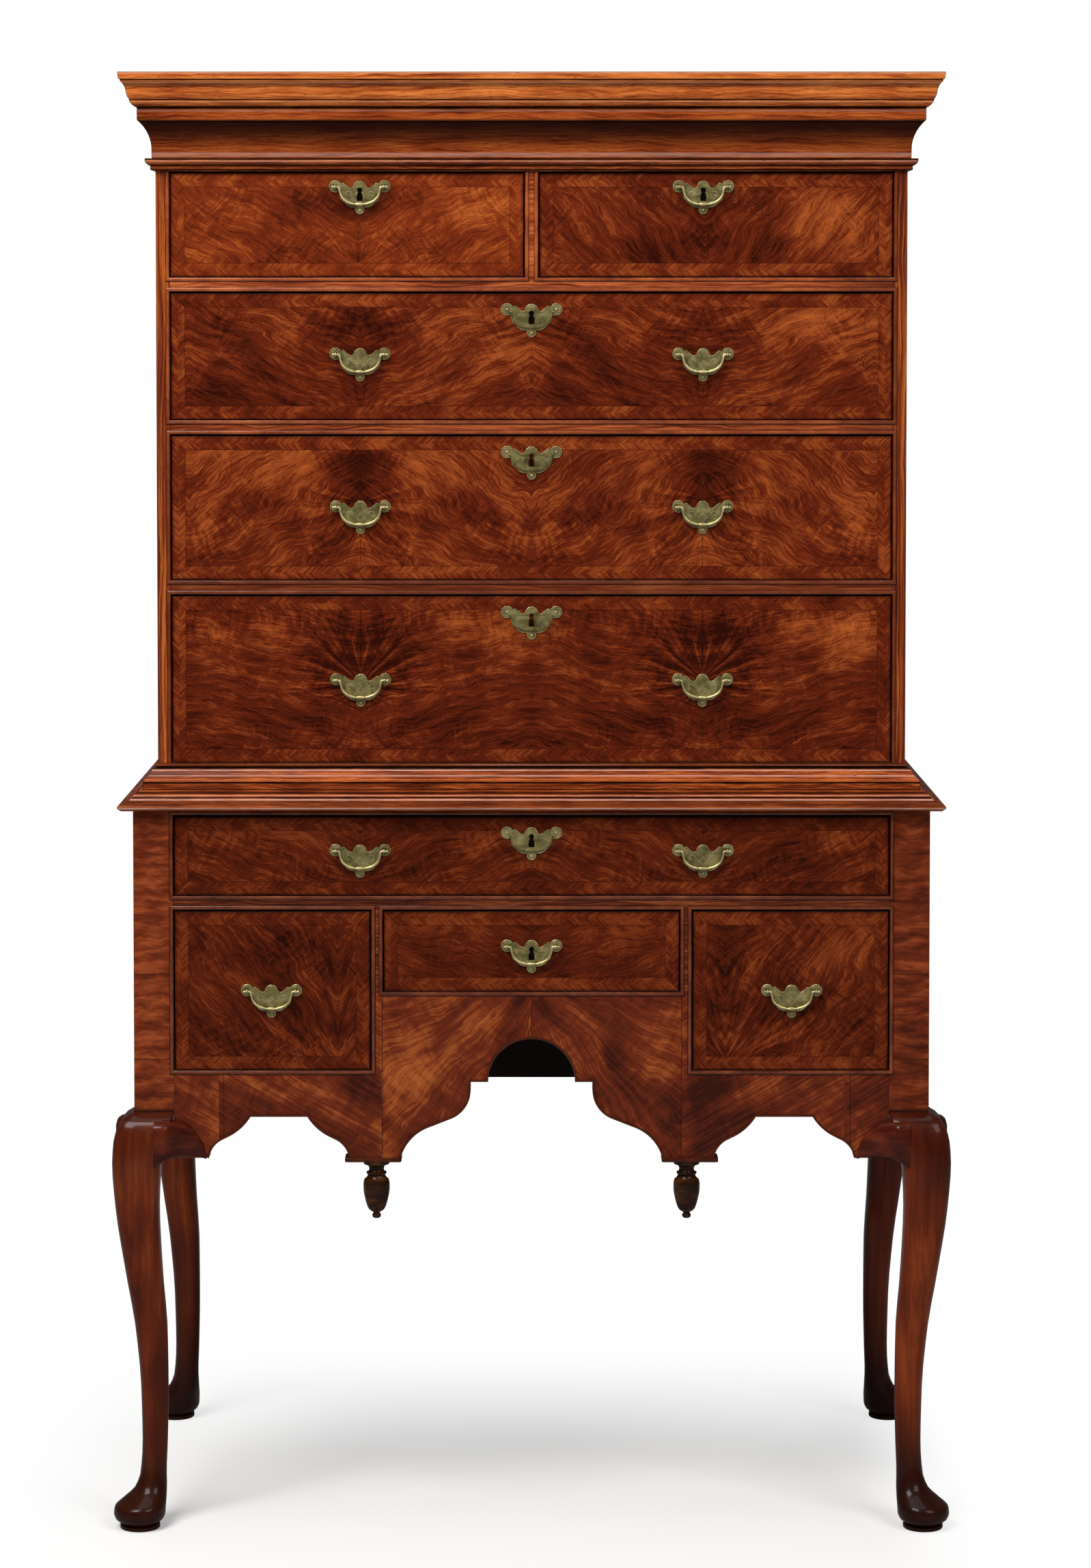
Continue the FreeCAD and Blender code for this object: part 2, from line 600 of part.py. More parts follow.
def knee_bracket():
    """The carved wing on the apron beside the front right knee, before it is cut to fit the leg."""
    tip, root = LOWER_HALF - BRACKET_TIP, LOWER_HALF - BRACKET_ROOT
    proud = BRACKET_PLAN[-1][1]
    outline = Outline(on_front(LOWER_FRONT - proud), (root, SKIRT_Z + BRACKET_TOP))
    outline.line((root - BRACKET_SADDLE, SKIRT_Z + BRACKET_TOP))
    outline.flats((tip, SKIRT_Z + BRACKET_FOOT[0][1]), -BRACKET_HOLLOW)
    outline.line(*[(tip + across, SKIRT_Z + rise) for across, rise in BRACKET_FOOT])
    outline.line((root, SKIRT_Z - BRACKET_ROOT_DROP))
    front_form = outline.solid(V(0, proud, 0))
    plan = Outline(on_level(SKIRT_Z - BRACKET_TOP), (tip, LOWER_FRONT))
    plan.line(*[(tip + across, LOWER_FRONT - out) for across, out in BRACKET_PLAN])
    plan.line((root, LOWER_FRONT - proud), (root, LOWER_FRONT))
    plan_form = plan.solid(V(0, 0, 3 * BRACKET_TOP))
    return front_form.common(plan_form)


def across_diagonal(shape):
    """A front right piece turned to the side face of the same leg."""
    corner = V(LOWER_HALF, LOWER_FRONT, 0)
    return shape.mirror(corner, V(1, 1, 0))


def knee_brackets(knee):
    blank = knee_bracket()
    front = blank.cut(knee)
    side = across_diagonal(blank).cut(knee)
    rear = side.mirror(V(0, 0, 0), V(0, 1, 0))
    return both_sides(front) + both_sides(side) + both_sides(rear)


def drop_finials():
    """Turned pendants, one under each platform of the apron."""
    axis = V(FINIAL_X, LOWER_FRONT + FINIAL_Y, SKIRT_Z - PLATFORM_PLATE)
    angles = [2 * pi * step / FINIAL_FLATS for step in range(FINIAL_FLATS)]
    rings = []
    for depth, radius in FINIAL_TURNING:
        rings.append([axis + V(radius * cos(angle), radius * sin(angle), -depth) for angle in angles])
    return both_sides(skinned(rings))


# ---- Drawers -------------------------------------------------------------------------
class Drawer:
    """One drawer: its opening, and where its brasses are."""

    def __init__(self, name, opening, sill, height, face, back, plates, beads):
        self.name = name
        self.x0, self.x1 = opening
        self.sill, self.height = sill, height
        self.top = sill + height
        self.face, self.back = face, back
        self.beads = beads
        self.keyholes = [(x, z) for kind, x, z in plates if kind != "handle"]
        self.handles = [(x, z) for kind, x, z in plates if kind != "escutcheon"]
        self.front_box = (self.x0 + GAP_SIDE, self.x1 - GAP_SIDE, face, face + FRONT_BOARD,
                          sill + GAP_SILL, self.top - GAP_TOP)
        self.inside = face + FRONT_BOARD
        self.rear = back - GAP_BACK

    def sides(self):
        """The two sides, with the tails that lie in the ends of the front."""
        x0, x1, _, _, foot, top = self.front_box
        foot += DRAWER_BOTTOM
        top -= SIDE_DROP
        count = max(2, round((top - foot) / TAIL_PITCH))
        pitch = (top - foot) / count
        root, tip = pitch * 0.25, pitch * 0.25 - TAIL_SLOPE
        nose = self.face + LAP
        points = [(self.rear, foot), (self.rear, top), (self.inside, top)]
        for step in reversed(range(count)):
            high, low = foot + (step + 1) * pitch, foot + step * pitch
            points += [(self.inside, high - root), (nose, high - tip), (nose, low + tip), (self.inside, low + root)]
        points.append((self.inside, foot))
        return [polygon(on_side(x), points, V(DRAWER_SIDE, 0, 0)) for x in (x0, x1 - DRAWER_SIDE)]

    def box_solids(self):
        x0, x1, _, _, foot, top = self.front_box
        floor = foot + DRAWER_BOTTOM
        bottom = box(x0, x1, self.inside - DRAWER_SIDE, self.rear, foot, floor)
        rear = box(x0 + DRAWER_SIDE, x1 - DRAWER_SIDE, self.rear - DRAWER_BACK, self.rear, floor, top - SIDE_DROP)
        return self.sides() + [rear, bottom]

    def front_solid(self):
        """The front board, cut for the tails, the bottom, the cotter pins and the keyhole."""
        board = box(*self.front_box)
        cuts = self.box_solids()
        for x, z in self.handles:
            cuts += [eye_hole(x + side * EYE_X, z + PIN_Z, self.face, FRONT_BOARD) for side in (-1, 1)]
        cuts += [keyhole_slot(x, z, self.face, FRONT_BOARD) for x, z in self.keyholes]
        return board.cut(cuts)

    def brasses(self):
        solids = [plate(x, z, self.face, (x, z) in self.keyholes, True) for x, z in self.handles]
        solids += [plate(x, z, self.face, True, False) for x, z in self.keyholes if (x, z) not in self.handles]
        for x, z in self.handles:
            solids += [cotter_pin(x + side * EYE_X, z + PIN_Z, self.face) for side in (-1, 1)]
        solids += [lock(x, z, self.inside) for x, z in self.keyholes]
        return solids

    def bail_names(self):
        if len(self.handles) == 1:
            return [self.name + "_bail"]
        return [self.name + "_left_bail", self.name + "_right_bail"]


def eye_hole(x, z, face, depth):
    half_x, half_z = EYE_WIDTH / 2 + FIT, PIN_R + PIN_CLEARANCE + EYE_WIRE + FIT
    return box(x - half_x, x + half_x, face, face + depth, z - half_z, z + half_z)


def keyhole_slot(x, z, face, depth):
    half = KEYHOLE_SLOT / 2
    return box(x - half, x + half, face, face + depth, z + KEYHOLE_Z - KEYHOLE_DROP, z + KEYHOLE_Z + KEYHOLE_R)


def round_points(cx, cz, radius, start, end, count):
    """Points evenly round a circle, from one angle to another in degrees."""
    angles = [radians(start + (end - start) * step / count) for step in range(count + 1)]
    return [(cx + radius * cos(angle), cz + radius * sin(angle)) for angle in angles]


def half_plate():
    """The right half of a plate's bat-wing outline, from the crest down to the tab."""
    points = round_points(0, CREST_Z, CREST_R, 90, 0, 2)
    points += [(CREST_R + 3.2, CREST_Z - 1.0), (LOBE_X - 10.0, LOBE_Z + 4.7)]
    points += round_points(LOBE_X, LOBE_Z, LOBE_R, 126, -126, 4)
    points += [(22.6, -3.6), (12.4, -11.6)]
    points += round_points(0, TAB_Z, TAB_R, 25, -90, 2)
    return points


def plate(x, z, face, has_keyhole, has_eyes):
    """One pierced brass plate lying on a drawer front, centred on (x, z)."""
    right = half_plate()
    left = [(-u, w) for u, w in reversed(right[1:-1])]
    points = [(x + u, z + w) for u, w in right + left]
    body = polygon(on_front(face - PLATE), points, V(0, PLATE, 0))
    cuts = []
    if has_eyes:
        cuts += [eye_hole(x + side * EYE_X, z + PIN_Z, face - PLATE, PLATE) for side in (-1, 1)]
    if has_keyhole:
        eye = round_points(x, z + KEYHOLE_Z, KEYHOLE_R, -60, 240, 6)
        half = KEYHOLE_SLOT / 2
        foot = z + KEYHOLE_Z - KEYHOLE_DROP
        hole = [(x + half, foot)] + eye + [(x - half, foot)]
        cuts.append(polygon(on_front(face - PLATE), hole, V(0, PLATE, 0)))
    return body.cut(cuts) if cuts else body


def cotter_pin(x, z, face):
    """A bent cotter pin: an eye round the bail's pin, two legs, and their clinched ends."""
    hinge = face - PLATE - PIN_OUT
    inner = PIN_R + PIN_CLEARANCE
    outer = inner + EYE_WIRE
    back = face + FRONT_BOARD
    ends = back + EYE_WIRE
    # The nose of the eye is round about the hinge line, and flat above and below.
    nose = outer * cos(EYE_NOSE), outer * sin(EYE_NOSE)
    shoulder = hinge - outer * tan(pi / 8)
    outline = Outline(lambda y, w: V(x - EYE_WIDTH / 2, y, z + w), (hinge - nose[0], nose[1]))
    outline.bow((hinge - nose[0], -nose[1]), nose[0] - outer)
    outline.line((shoulder, -outer), (back, -outer), (back, -outer - CLINCH), (ends, -outer - CLINCH))
    outline.line((ends, -inner), (hinge - inner, -inner), (hinge - inner, inner), (ends, inner))
    outline.line((ends, outer + CLINCH), (back, outer + CLINCH), (back, outer), (shoulder, outer))
    return outline.solid(V(EYE_WIDTH, 0, 0))


def lock(x, z, inside):
    """The lock planted on the inner face of a drawer front."""
    foot = z + KEYHOLE_Z - KEYHOLE_DROP - LOCK_FOOT / 2
    return box(x - LOCK_WIDTH / 2, x + LOCK_WIDTH / 2, inside, inside + LOCK_DEPTH, foot, foot + LOCK_HEIGHT)


def bail(x, z, face):
    """A cast bail with baluster swellings and a collar, hung by its two outward pins."""
    hinge = face - PLATE - PIN_OUT
    outer, inner = [], []
    # Angle round the loop from the right-hand pin, and half the thickness there.
    stations = ((0, 1.3), (27, 1.4), (54, 1.6), (67, 1.9), (81, 1.0), (86, 2.0))
    whole = list(stations) + [(180 - angle, half) for angle, half in reversed(stations)]
    for angle, half in whole:
        turn = radians(angle)
        u = BAIL_HALF * (1 if cos(turn) >= 0 else -1) * abs(cos(turn)) ** 0.8
        w = -BAIL_DROP * sin(turn) ** 0.8
        slope = sqrt(u * u + (w * BAIL_HALF / BAIL_DROP) ** 2)
        nu, nw = u / slope, w * BAIL_HALF / BAIL_DROP / slope
        outer.append((x + u + nu * half, z + PIN_Z + w + nw * half))
        inner.append((x + u - nu * half, z + PIN_Z + w - nw * half))
    rise = z + PIN_Z + PIN_R
    points = outer + [(outer[-1][0], rise), (inner[-1][0], rise)]
    points += list(reversed(inner)) + [(inner[0][0], rise), (outer[0][0], rise)]
    loop = polygon(on_front(hinge - BAIL_THICK / 2), points, V(0, BAIL_THICK, 0))
    pins = []
    for side in (-1, 1):
        start = x + side * (BAIL_HALF + 1.0)
        ring = round_points(hinge, z + PIN_Z, PIN_R, 0, 315, 7)
        pins.append(polygon(on_side(start), ring, V(side * (PIN_END - BAIL_HALF - 1.0), 0, 0)))
    return joined(loop, pins)


def drawer_list():
    """Every drawer of the chest with its handles and keyholes."""
    wide = (-UPPER_IN, UPPER_IN)
    half_divider = DIVIDER / 2
    all_round = ("bottom", "top", "left", "right")
    top_sill = UPPER_SILLS[-1]
    plate_z = FRIEZE_Z - TOP_HANDLE_DROP
    drawers = [
        Drawer("top_left_drawer", (-UPPER_IN, -half_divider), top_sill, UPPER_OPENINGS[-1], UPPER_FRONT,
               UPPER_BACK_IN, [("locked handle", -HANDLE_X, plate_z)], ("bottom", "left", "right")),
        Drawer("top_right_drawer", (half_divider, UPPER_IN), top_sill, UPPER_OPENINGS[-1], UPPER_FRONT,
               UPPER_BACK_IN, [("locked handle", HANDLE_X, plate_z)], ("bottom", "left", "right")),
    ]
    names = ("fourth_drawer", "third_drawer", "second_drawer")
    for name, sill, height in zip(names, UPPER_SILLS, UPPER_OPENINGS):
        beads = ("top", "left", "right") if sill == UPPER_SILLS[0] else all_round
        drawers.append(Drawer(name, wide, sill, height, UPPER_FRONT, UPPER_BACK_IN,
                              wide_plates(sill, height), beads))
    drawers.append(Drawer("lower_long_drawer", (-POST_IN, POST_IN), LONG_SILL, LONG_OPENING, LOWER_FRONT,
                          LOWER_BACK_IN, wide_plates(LONG_SILL, LONG_OPENING), all_round))
    inner = PARTITION_X - PARTITION / 2
    outer = PARTITION_X + PARTITION / 2
    deep_z = DEEP_SILL + DEEP_OPENING * HANDLE_SHARE
    center_z = CENTER_SILL + CENTER_OPENING * HANDLE_SHARE
    drawers += [
        Drawer("lower_left_drawer", (-POST_IN, -outer), DEEP_SILL, DEEP_OPENING, LOWER_FRONT, LOWER_BACK_IN,
               [("handle", -SMALL_HANDLE_X, deep_z)], all_round),
        Drawer("lower_center_drawer", (-inner, inner), CENTER_SILL, CENTER_OPENING, LOWER_FRONT,
               LOWER_BACK_IN, [("locked handle", 0.0, center_z)], all_round),
        Drawer("lower_right_drawer", (outer, POST_IN), DEEP_SILL, DEEP_OPENING, LOWER_FRONT, LOWER_BACK_IN,
               [("handle", SMALL_HANDLE_X, deep_z)], all_round),
    ]
    return drawers


def wide_plates(sill, height):
    """Two handles and a keyhole plate between them."""
    z = sill + height * HANDLE_SHARE
    keyhole = sill + height - ESCUTCHEON_DROP
    return [("handle", -HANDLE_X, z), ("handle", HANDLE_X, z), ("escutcheon", 0.0, keyhole)]


DRAWERS = drawer_list()


def all_parts():
    """Every node's name and its solids."""
    right = leg()
    rear_right = right.mirror(V(0, 0, 0), V(0, 1, 0))
    front_right, front_left = both_sides(right)
    back_right, back_left = both_sides(rear_right)
    parts = {
        "crown_moulding": crown_moulding(),
        "cove_moulding": cove_moulding(),
        "neck_moulding": neck_moulding(),
        "waist_moulding": waist_moulding(),
        "bead_mouldings": bead_mouldings(),
        "upper_top_board": upper_top_board(),
        "upper_side_boards": upper_side_boards(),
        "upper_bottom_board": upper_bottom_board(),
        "upper_rails": upper_rails(),
        "back_boards": back_boards(),
        "drawer_runners": drawer_runners(),
        "lower_side_boards": lower_side_boards(),
        "lower_rails_and_partitions": lower_rails_and_partitions(),
        "front_apron": front_apron(),
        "knee_brackets": knee_brackets(right),
        "drop_finials": drop_finials(),
        "leg_front_left": [front_left],
        "leg_front_right": [front_right],
        "leg_back_left": [back_left],
        "leg_back_right": [back_right],
    }
    for drawer in DRAWERS:
        parts[drawer.name + "_front"] = [drawer.front_solid()]
        parts[drawer.name + "_box"] = drawer.box_solids()
        parts[drawer.name + "_brasses"] = drawer.brasses()
        for name, (x, z) in zip(drawer.bail_names(), drawer.handles):
            parts[name] = [bail(x, z, drawer.face)]
    return parts


def main():
    os.makedirs("parts", exist_ok=True)
    for name, shapes in all_parts().items():
        solids = [solid for shape in shapes for solid in shape.Solids]
        shape = solids[0] if len(solids) == 1 else Part.makeCompound(solids)
        shape.exportStep("parts/" + name + ".step")


if __name__ == "__main__":
    main()
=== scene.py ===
"""The highboy's finish: turned and moulded pieces, veneers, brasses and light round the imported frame."""
import json
from math import atan2, cos, hypot, pi, radians, sin, sqrt

import bmesh
import bpy
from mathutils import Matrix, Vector
from mathutils.geometry import tessellate_polygon

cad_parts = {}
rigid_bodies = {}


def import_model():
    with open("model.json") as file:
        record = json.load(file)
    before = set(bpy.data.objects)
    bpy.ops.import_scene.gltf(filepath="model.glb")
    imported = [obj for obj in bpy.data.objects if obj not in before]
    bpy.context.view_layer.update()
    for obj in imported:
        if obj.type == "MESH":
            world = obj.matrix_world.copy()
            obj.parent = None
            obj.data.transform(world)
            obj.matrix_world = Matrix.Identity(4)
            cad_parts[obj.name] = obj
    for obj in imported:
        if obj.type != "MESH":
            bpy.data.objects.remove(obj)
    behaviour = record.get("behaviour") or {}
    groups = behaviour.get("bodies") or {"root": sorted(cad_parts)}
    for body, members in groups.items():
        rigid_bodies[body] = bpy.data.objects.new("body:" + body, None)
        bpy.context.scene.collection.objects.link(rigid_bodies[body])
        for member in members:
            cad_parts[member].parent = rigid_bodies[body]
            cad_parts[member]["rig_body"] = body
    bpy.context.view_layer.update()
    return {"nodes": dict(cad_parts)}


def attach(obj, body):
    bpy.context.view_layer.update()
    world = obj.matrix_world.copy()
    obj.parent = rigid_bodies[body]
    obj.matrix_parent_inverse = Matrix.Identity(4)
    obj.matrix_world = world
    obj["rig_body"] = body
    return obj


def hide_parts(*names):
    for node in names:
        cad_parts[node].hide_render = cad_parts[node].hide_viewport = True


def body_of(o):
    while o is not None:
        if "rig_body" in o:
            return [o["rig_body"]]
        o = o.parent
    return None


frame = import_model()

NODES = frame["nodes"]
MM = 0.001

# ---- Sizes in millimetres, as in the part ----
TOP = 1748
CROWN_FOOT = TOP - 41.5
COVE_FOOT = CROWN_FOOT - 59.5
FRIEZE_Z = 1631.8
UPPER_SILL = 923.1
SEAT = 902
WAIST_TOP, WAIST_STEP = SEAT + 15.6, SEAT - 9.5
LOWER_TOP = 869.5
DEEP_SILL, CENTER_SILL = 556, 651
KNEE_TOP = 505
SKIRT = 450
UPPER_HALF, UPPER_FRONT = 448.7, -222
LOWER_HALF, LOWER_FRONT = 476.7, -250
BACK = 250
UPPER_IN = 432.3
POST = 48.2
POST_IN = LOWER_HALF - POST
POST_JOINTS = (817, 672, 569)      # where one leaf on the posts ends and the next begins
DEEP_IN, CENTER_HALF = 192, 178
SMALL_SILL, DEEP_TOP, DIVIDER_HALF = 1505.7, 749.5, 8.2
FRONT_BOARD = 19
GAP_SIDE, GAP_FOOT, GAP_TOP = 1.5, 0.6, 2.2      # clearances of a drawer front in its opening
BEAD, BEAD_RISE, BASE_BEAD_RISE = 5.2, 1.7, 4.2
COCK_BEAD, COCK_PROUD, APRON_BOARD = 2.5, 2, 20
SCALLOP_OUT, SCALLOP_IN = 387, 219
PLATFORM, PLATFORM_OUT, PLATFORM_IN, FINIAL_X = 4.7, 224, 156, 186.5
HANDLE_X = 205
PLATE = 1.2
EAR_X, EAR_Z, TAB_NAIL = 29.3, 12.9, 15.5
PIN_Z, PIN_OUT, PIN_R, PIN_END = 11.9, 4.2, 1.5, 33.3
BAIL_HALF, BAIL_DROP = 24.1, 20.6
EYE_X, EYE_WIRE, EYE_WIDTH = 29, 1.2, 2.2


def pair(height):
    """The places of two handles at one height."""
    return (-HANDLE_X, height), (HANDLE_X, height)


ALL_ROUND = ("bottom", "top", "left", "right")
UNDER_FRIEZE = ("bottom", "left", "right")
WIDE = (-UPPER_IN, UPPER_IN)
# Name, opening (x0, x1, sill, top), face, sides with a bead, handles, keyholes.
DRAWERS = (
    ("top_left_drawer", (-UPPER_IN, -DIVIDER_HALF, SMALL_SILL, FRIEZE_Z), UPPER_FRONT, UNDER_FRIEZE,
     pair(1601.2)[:1], pair(1601.2)[:1]),
    ("top_right_drawer", (DIVIDER_HALF, UPPER_IN, SMALL_SILL, FRIEZE_Z), UPPER_FRONT, UNDER_FRIEZE,
     pair(1601.2)[1:], pair(1601.2)[1:]),
    ("second_drawer", (*WIDE, 1335.1, 1488.5), UPPER_FRONT, ALL_ROUND, pair(1401.5), ((0, 1454.5),)),
    ("third_drawer", (*WIDE, 1143.1, 1317.9), UPPER_FRONT, ALL_ROUND, pair(1218.8), ((0, 1283.9),)),
    ("fourth_drawer", (*WIDE, UPPER_SILL, 1125.9), UPPER_FRONT, ("top", "left", "right"),
     pair(1010.9), ((0, 1091.9),)),
    ("lower_long_drawer", (-POST_IN, POST_IN, 766.7, 863.5), LOWER_FRONT, ALL_ROUND,
     pair(808.6), ((0, 829.5),)),
    ("lower_left_drawer", (-POST_IN, -DEEP_IN, DEEP_SILL, DEEP_TOP), LOWER_FRONT, ALL_ROUND,
     ((-311.5, 639.8),), ()),
    ("lower_center_drawer", (-CENTER_HALF, CENTER_HALF, CENTER_SILL, DEEP_TOP), LOWER_FRONT, ALL_ROUND,
     ((0, 693.7),), ((0, 693.7),)),
    ("lower_right_drawer", (DEEP_IN, POST_IN, DEEP_SILL, DEEP_TOP), LOWER_FRONT, ALL_ROUND,
     ((311.5, 639.8),), ()),
)


# ---- Shader helpers ----
class Value:
    """A number or colour inside a node tree, with arithmetic that makes Math nodes."""

    def __init__(self, tree, socket):
        self.tree, self.socket = tree, socket

    def math(self, operation, *others):
        return self.tree.math(operation, self, *others)

    def __add__(self, other):
        return self.math("ADD", other)

    def __sub__(self, other):
        return self.math("SUBTRACT", other)

    def __rsub__(self, other):
        return self.tree.math("SUBTRACT", other, self)

    def __mul__(self, other):
        return self.math("MULTIPLY", other)

    def __abs__(self):
        return self.math("ABSOLUTE")

    def least(self, other):
        return self.math("MINIMUM", other)

    def most(self, other):
        return self.math("MAXIMUM", other)

    def over(self, other):
        return self.math("GREATER_THAN", other)

    def under(self, other):
        return self.math("LESS_THAN", other)

    def reach(self, other):
        """The length of the vector that has this value and the other as its parts."""
        return (self * self + other * other).math("SQRT")

    def rise(self, low, high, out_low=0, out_high=1):
        """A smooth step from out_low at low to out_high at high."""
        return self.tree.made("ShaderNodeMapRange", self, low, high, out_low, out_high,
                              interpolation_type="SMOOTHSTEP")

    def fall(self, low, high, strength=1):
        return self.rise(low, high, strength, 0)

    def near(self, place, inner, outer, strength=1):
        """A line at place: full within inner of it, and gone at outer."""
        return abs(self - place).fall(inner, outer, strength)

    def choose(self, if_low, if_high):
        """if_low where this value is 0, if_high where it is 1."""
        return self * (if_high - if_low) + if_low


class Tree:
    """The node tree of a material or world, with short ways to make and join nodes."""

    def __init__(self, owner):
        owner.use_nodes = True
        self.nodes, self.links = owner.node_tree.nodes, owner.node_tree.links
        self.nodes.clear()

    def plug(self, socket, source):
        if isinstance(source, Value):
            self.links.new(source.socket, socket)
        else:
            socket.default_value = (*source, 1) if isinstance(source, tuple) else source

    def node(self, kind, *values, **settings):
        """A node with these settings, and these values in its first inputs."""
        node = self.nodes.new(kind)
        for key, setting in settings.items():
            setattr(node, key, setting)
        for socket, value in zip(node.inputs, values):
            self.plug(socket, value)
        return node

    def made(self, kind, *values, **settings):
        return Value(self, self.node(kind, *values, **settings).outputs[0])

    def math(self, operation, *values):
        return self.made("ShaderNodeMath", *values, operation=operation)

    def noise(self, x, y, z=0, detail=2, roughness=0.5, distortion=0):
        """Noise of about 0.5 in the mean, at coordinates already scaled to its grain size."""
        node = self.node("ShaderNodeTexNoise", self.made("ShaderNodeCombineXYZ", x, y, z))
        for key, setting in (("Scale", 1), ("Detail", detail), ("Roughness", roughness),
                             ("Distortion", distortion)):
            node.inputs[key].default_value = setting
        return Value(self, node.outputs[0])

    def sway(self, x, y, z, size, detail=2):
        """A slow drift to both sides of 0."""
        return (self.noise(x, y, z, detail) - 0.5) * size

    def ramp(self, factor, *stops):
        """A colour ramp of (place, (r, g, b)) stops."""
        node = self.node("ShaderNodeValToRGB", factor)
        elements = node.color_ramp.elements
        while len(elements) < len(stops):
            elements.new(0.5)
        for element, (place, colour) in zip(elements, stops):
            element.position = place
            element.color = (*colour, 1)
        return Value(self, node.outputs[0])

    def mix(self, factor, low, high):
        node = self.node("ShaderNodeMix", factor, data_type="RGBA")
        for socket, value in ((node.inputs[6], low), (node.inputs[7], high)):
            self.plug(socket, value)
        return Value(self, node.outputs[2])

    def seen(self):
        """1 for rays from the camera, and 1 for those and the rays that went through glass."""
        rays = self.node("ShaderNodeLightPath").outputs
        camera = Value(self, rays["Is Camera Ray"])
        return camera, camera.most(Value(self, rays["Is Transmission Ray"]))


class Material(Tree):
    """x, y and z are places in millimetres, and colour is what has been painted so far."""

    def __init__(self, name):
        self.data = bpy.data.materials.new(name)
        super().__init__(self.data)
        place = Value(self, self.node("ShaderNodeTexCoord").outputs["Object"])
        split = self.node("ShaderNodeSeparateXYZ", place)
        self.x, self.y, self.z = (Value(self, out) * 1000 for out in split.outputs)

    def grain(self, kx, ky, kz, detail, roughness=0.5):
        return self.noise(self.x * kx, self.y * ky, self.z * kz, detail, roughness)

    def attribute(self, name):
        return Value(self, self.node("ShaderNodeAttribute", attribute_name=name).outputs["Fac"])

    def edge_mark(self):
        """Masks of the arrises, for wear and painted highlight, and of the hollows, for dirt and painted
        shade, from the mesh's own marks.
        """
        mark = self.attribute("edge_mark")
        return mark.most(0), (mark * -1).most(0)

    def stain(self, tone, *stops):
        """The first coat: a colour for each tone, by (tone, colour) stops."""
        self.colour = self.ramp(tone, *stops)

    def paint(self, mask, colour):
        """Lays a colour over what is there, where the mask is 1."""
        self.colour = self.mix(mask, self.colour, colour)

    def finish(self, roughness, height=None, **sockets):
        """The surface: height is in millimetres of bump, and sockets name the shader's own."""
        shader = self.node("ShaderNodeBsdfPrincipled")
        for key, value in sockets.items():
            self.plug(shader.inputs[key.replace("_", " ")], value)
        self.plug(shader.inputs["Base Color"], self.colour)
        self.plug(shader.inputs["Roughness"], roughness)
        if height is not None:
            bump = self.node("ShaderNodeBump")
            for key, value in (("Strength", 0.2), ("Distance", MM), ("Height", height)):
                self.plug(bump.inputs[key], value)
            self.links.new(bump.outputs[0], shader.inputs["Normal"])
        self.node("ShaderNodeOutputMaterial", Value(self, shader.outputs[0]))
        return self.data


def dim(colour, share):
    return tuple(part * share for part in colour)


# ---- Shape helpers ----
class Line:
    """A run of points in a plane, drawn by straight steps and arcs."""

    def __init__(self, *start):
        self.points = list(start)

    def to(self, *points):
        self.points += points
        return self

    def bow(self, end, sagitta, count=8):
        """An arc that stands off its chord by sagitta, to the left of the way it runs."""
        x, y = self.points[-1]
        across, up = end[0] - x, end[1] - y
        chord = hypot(across, up)
        half_turn = 2 * atan2(2 * sagitta, chord)
        for step in range(1, count + 1):
            turn = half_turn * step / count
            length = chord * sin(turn) / sin(half_turn)
            tilt = half_turn - turn
            along, off = length * cos(tilt) / chord, length * sin(tilt) / chord
            self.points.append((x + across * along - up * off, y + up * along + across * off))
        return self


def around(sides):
    """Cosine and sine at equal steps round a circle."""
    return [(cos(2 * pi * step / sides), sin(2 * pi * step / sides)) for step in range(sides)]


def softened(points, radius, steps=3):
    """A closed ring with its sharp corners rounded, and an edge mark from -1 in hollows to 1 on arrises."""
    out = []
    area = sum(a[0] * b[1] - b[0] * a[1] for a, b in zip(points, points[1:] + points[:1]))
    for index, (x, y) in enumerate(points):
        before, after = points[index - 1], points[(index + 1) % len(points)]
        a, b = (before[0] - x, before[1] - y), (after[0] - x, after[1] - y)
        la, lb = hypot(*a), hypot(*b)
        turn = atan2(a[1] * b[0] - a[0] * b[1], -(a[0] * b[0] + a[1] * b[1]))
        if abs(turn) < 0.35:
            out.append(((x, y), 0))
            continue
        reach = min(radius, 0.42 * la, 0.42 * lb)
        mark = 1 if turn * area > 0 else -1
        # The mark fades out a little way along each face.
        fade_a, fade_b = min(2.4 * reach, 0.45 * la) / la, min(2.4 * reach, 0.45 * lb) / lb
        out.append(((x + a[0] * fade_a, y + a[1] * fade_a), 0))
        for step in range(steps + 1):
            t = step / steps
            wa, wb = (1 - t) ** 2 * reach / la, t ** 2 * reach / lb
            out.append(((x + a[0] * wa + b[0] * wb, y + a[1] * wa + b[1] * wb), mark))
        out.append(((x + b[0] * fade_b, y + b[1] * fade_b), 0))
    return out


def offset(points, distance):
    """An open line moved to its left, with mitred corners."""
    out = []
    for index, (x, z) in enumerate(points):
        normals = []
        near = points[max(0, index - 1):index + 2]
        for a, b in zip(near, near[1:]):
            dx, dz = b[0] - a[0], b[1] - a[1]
            length = hypot(dx, dz)
            if length > 1e-6:
                normals.append((-dz / length, dx / length))
        nx, nz = sum(n[0] for n in normals), sum(n[1] for n in normals)
        scale = distance / max(0.35, nx * normals[0][0] + nz * normals[0][1])
        out.append((x + nx * scale, z + nz * scale))
    return out


def cleaned(points):
    """The points without those that repeat the one before."""
    out = points[:1]
    for point in points[1:]:
        if hypot(point[0] - out[-1][0], point[1] - out[-1][1]) > 1e-4:
            out.append(point)
    return out


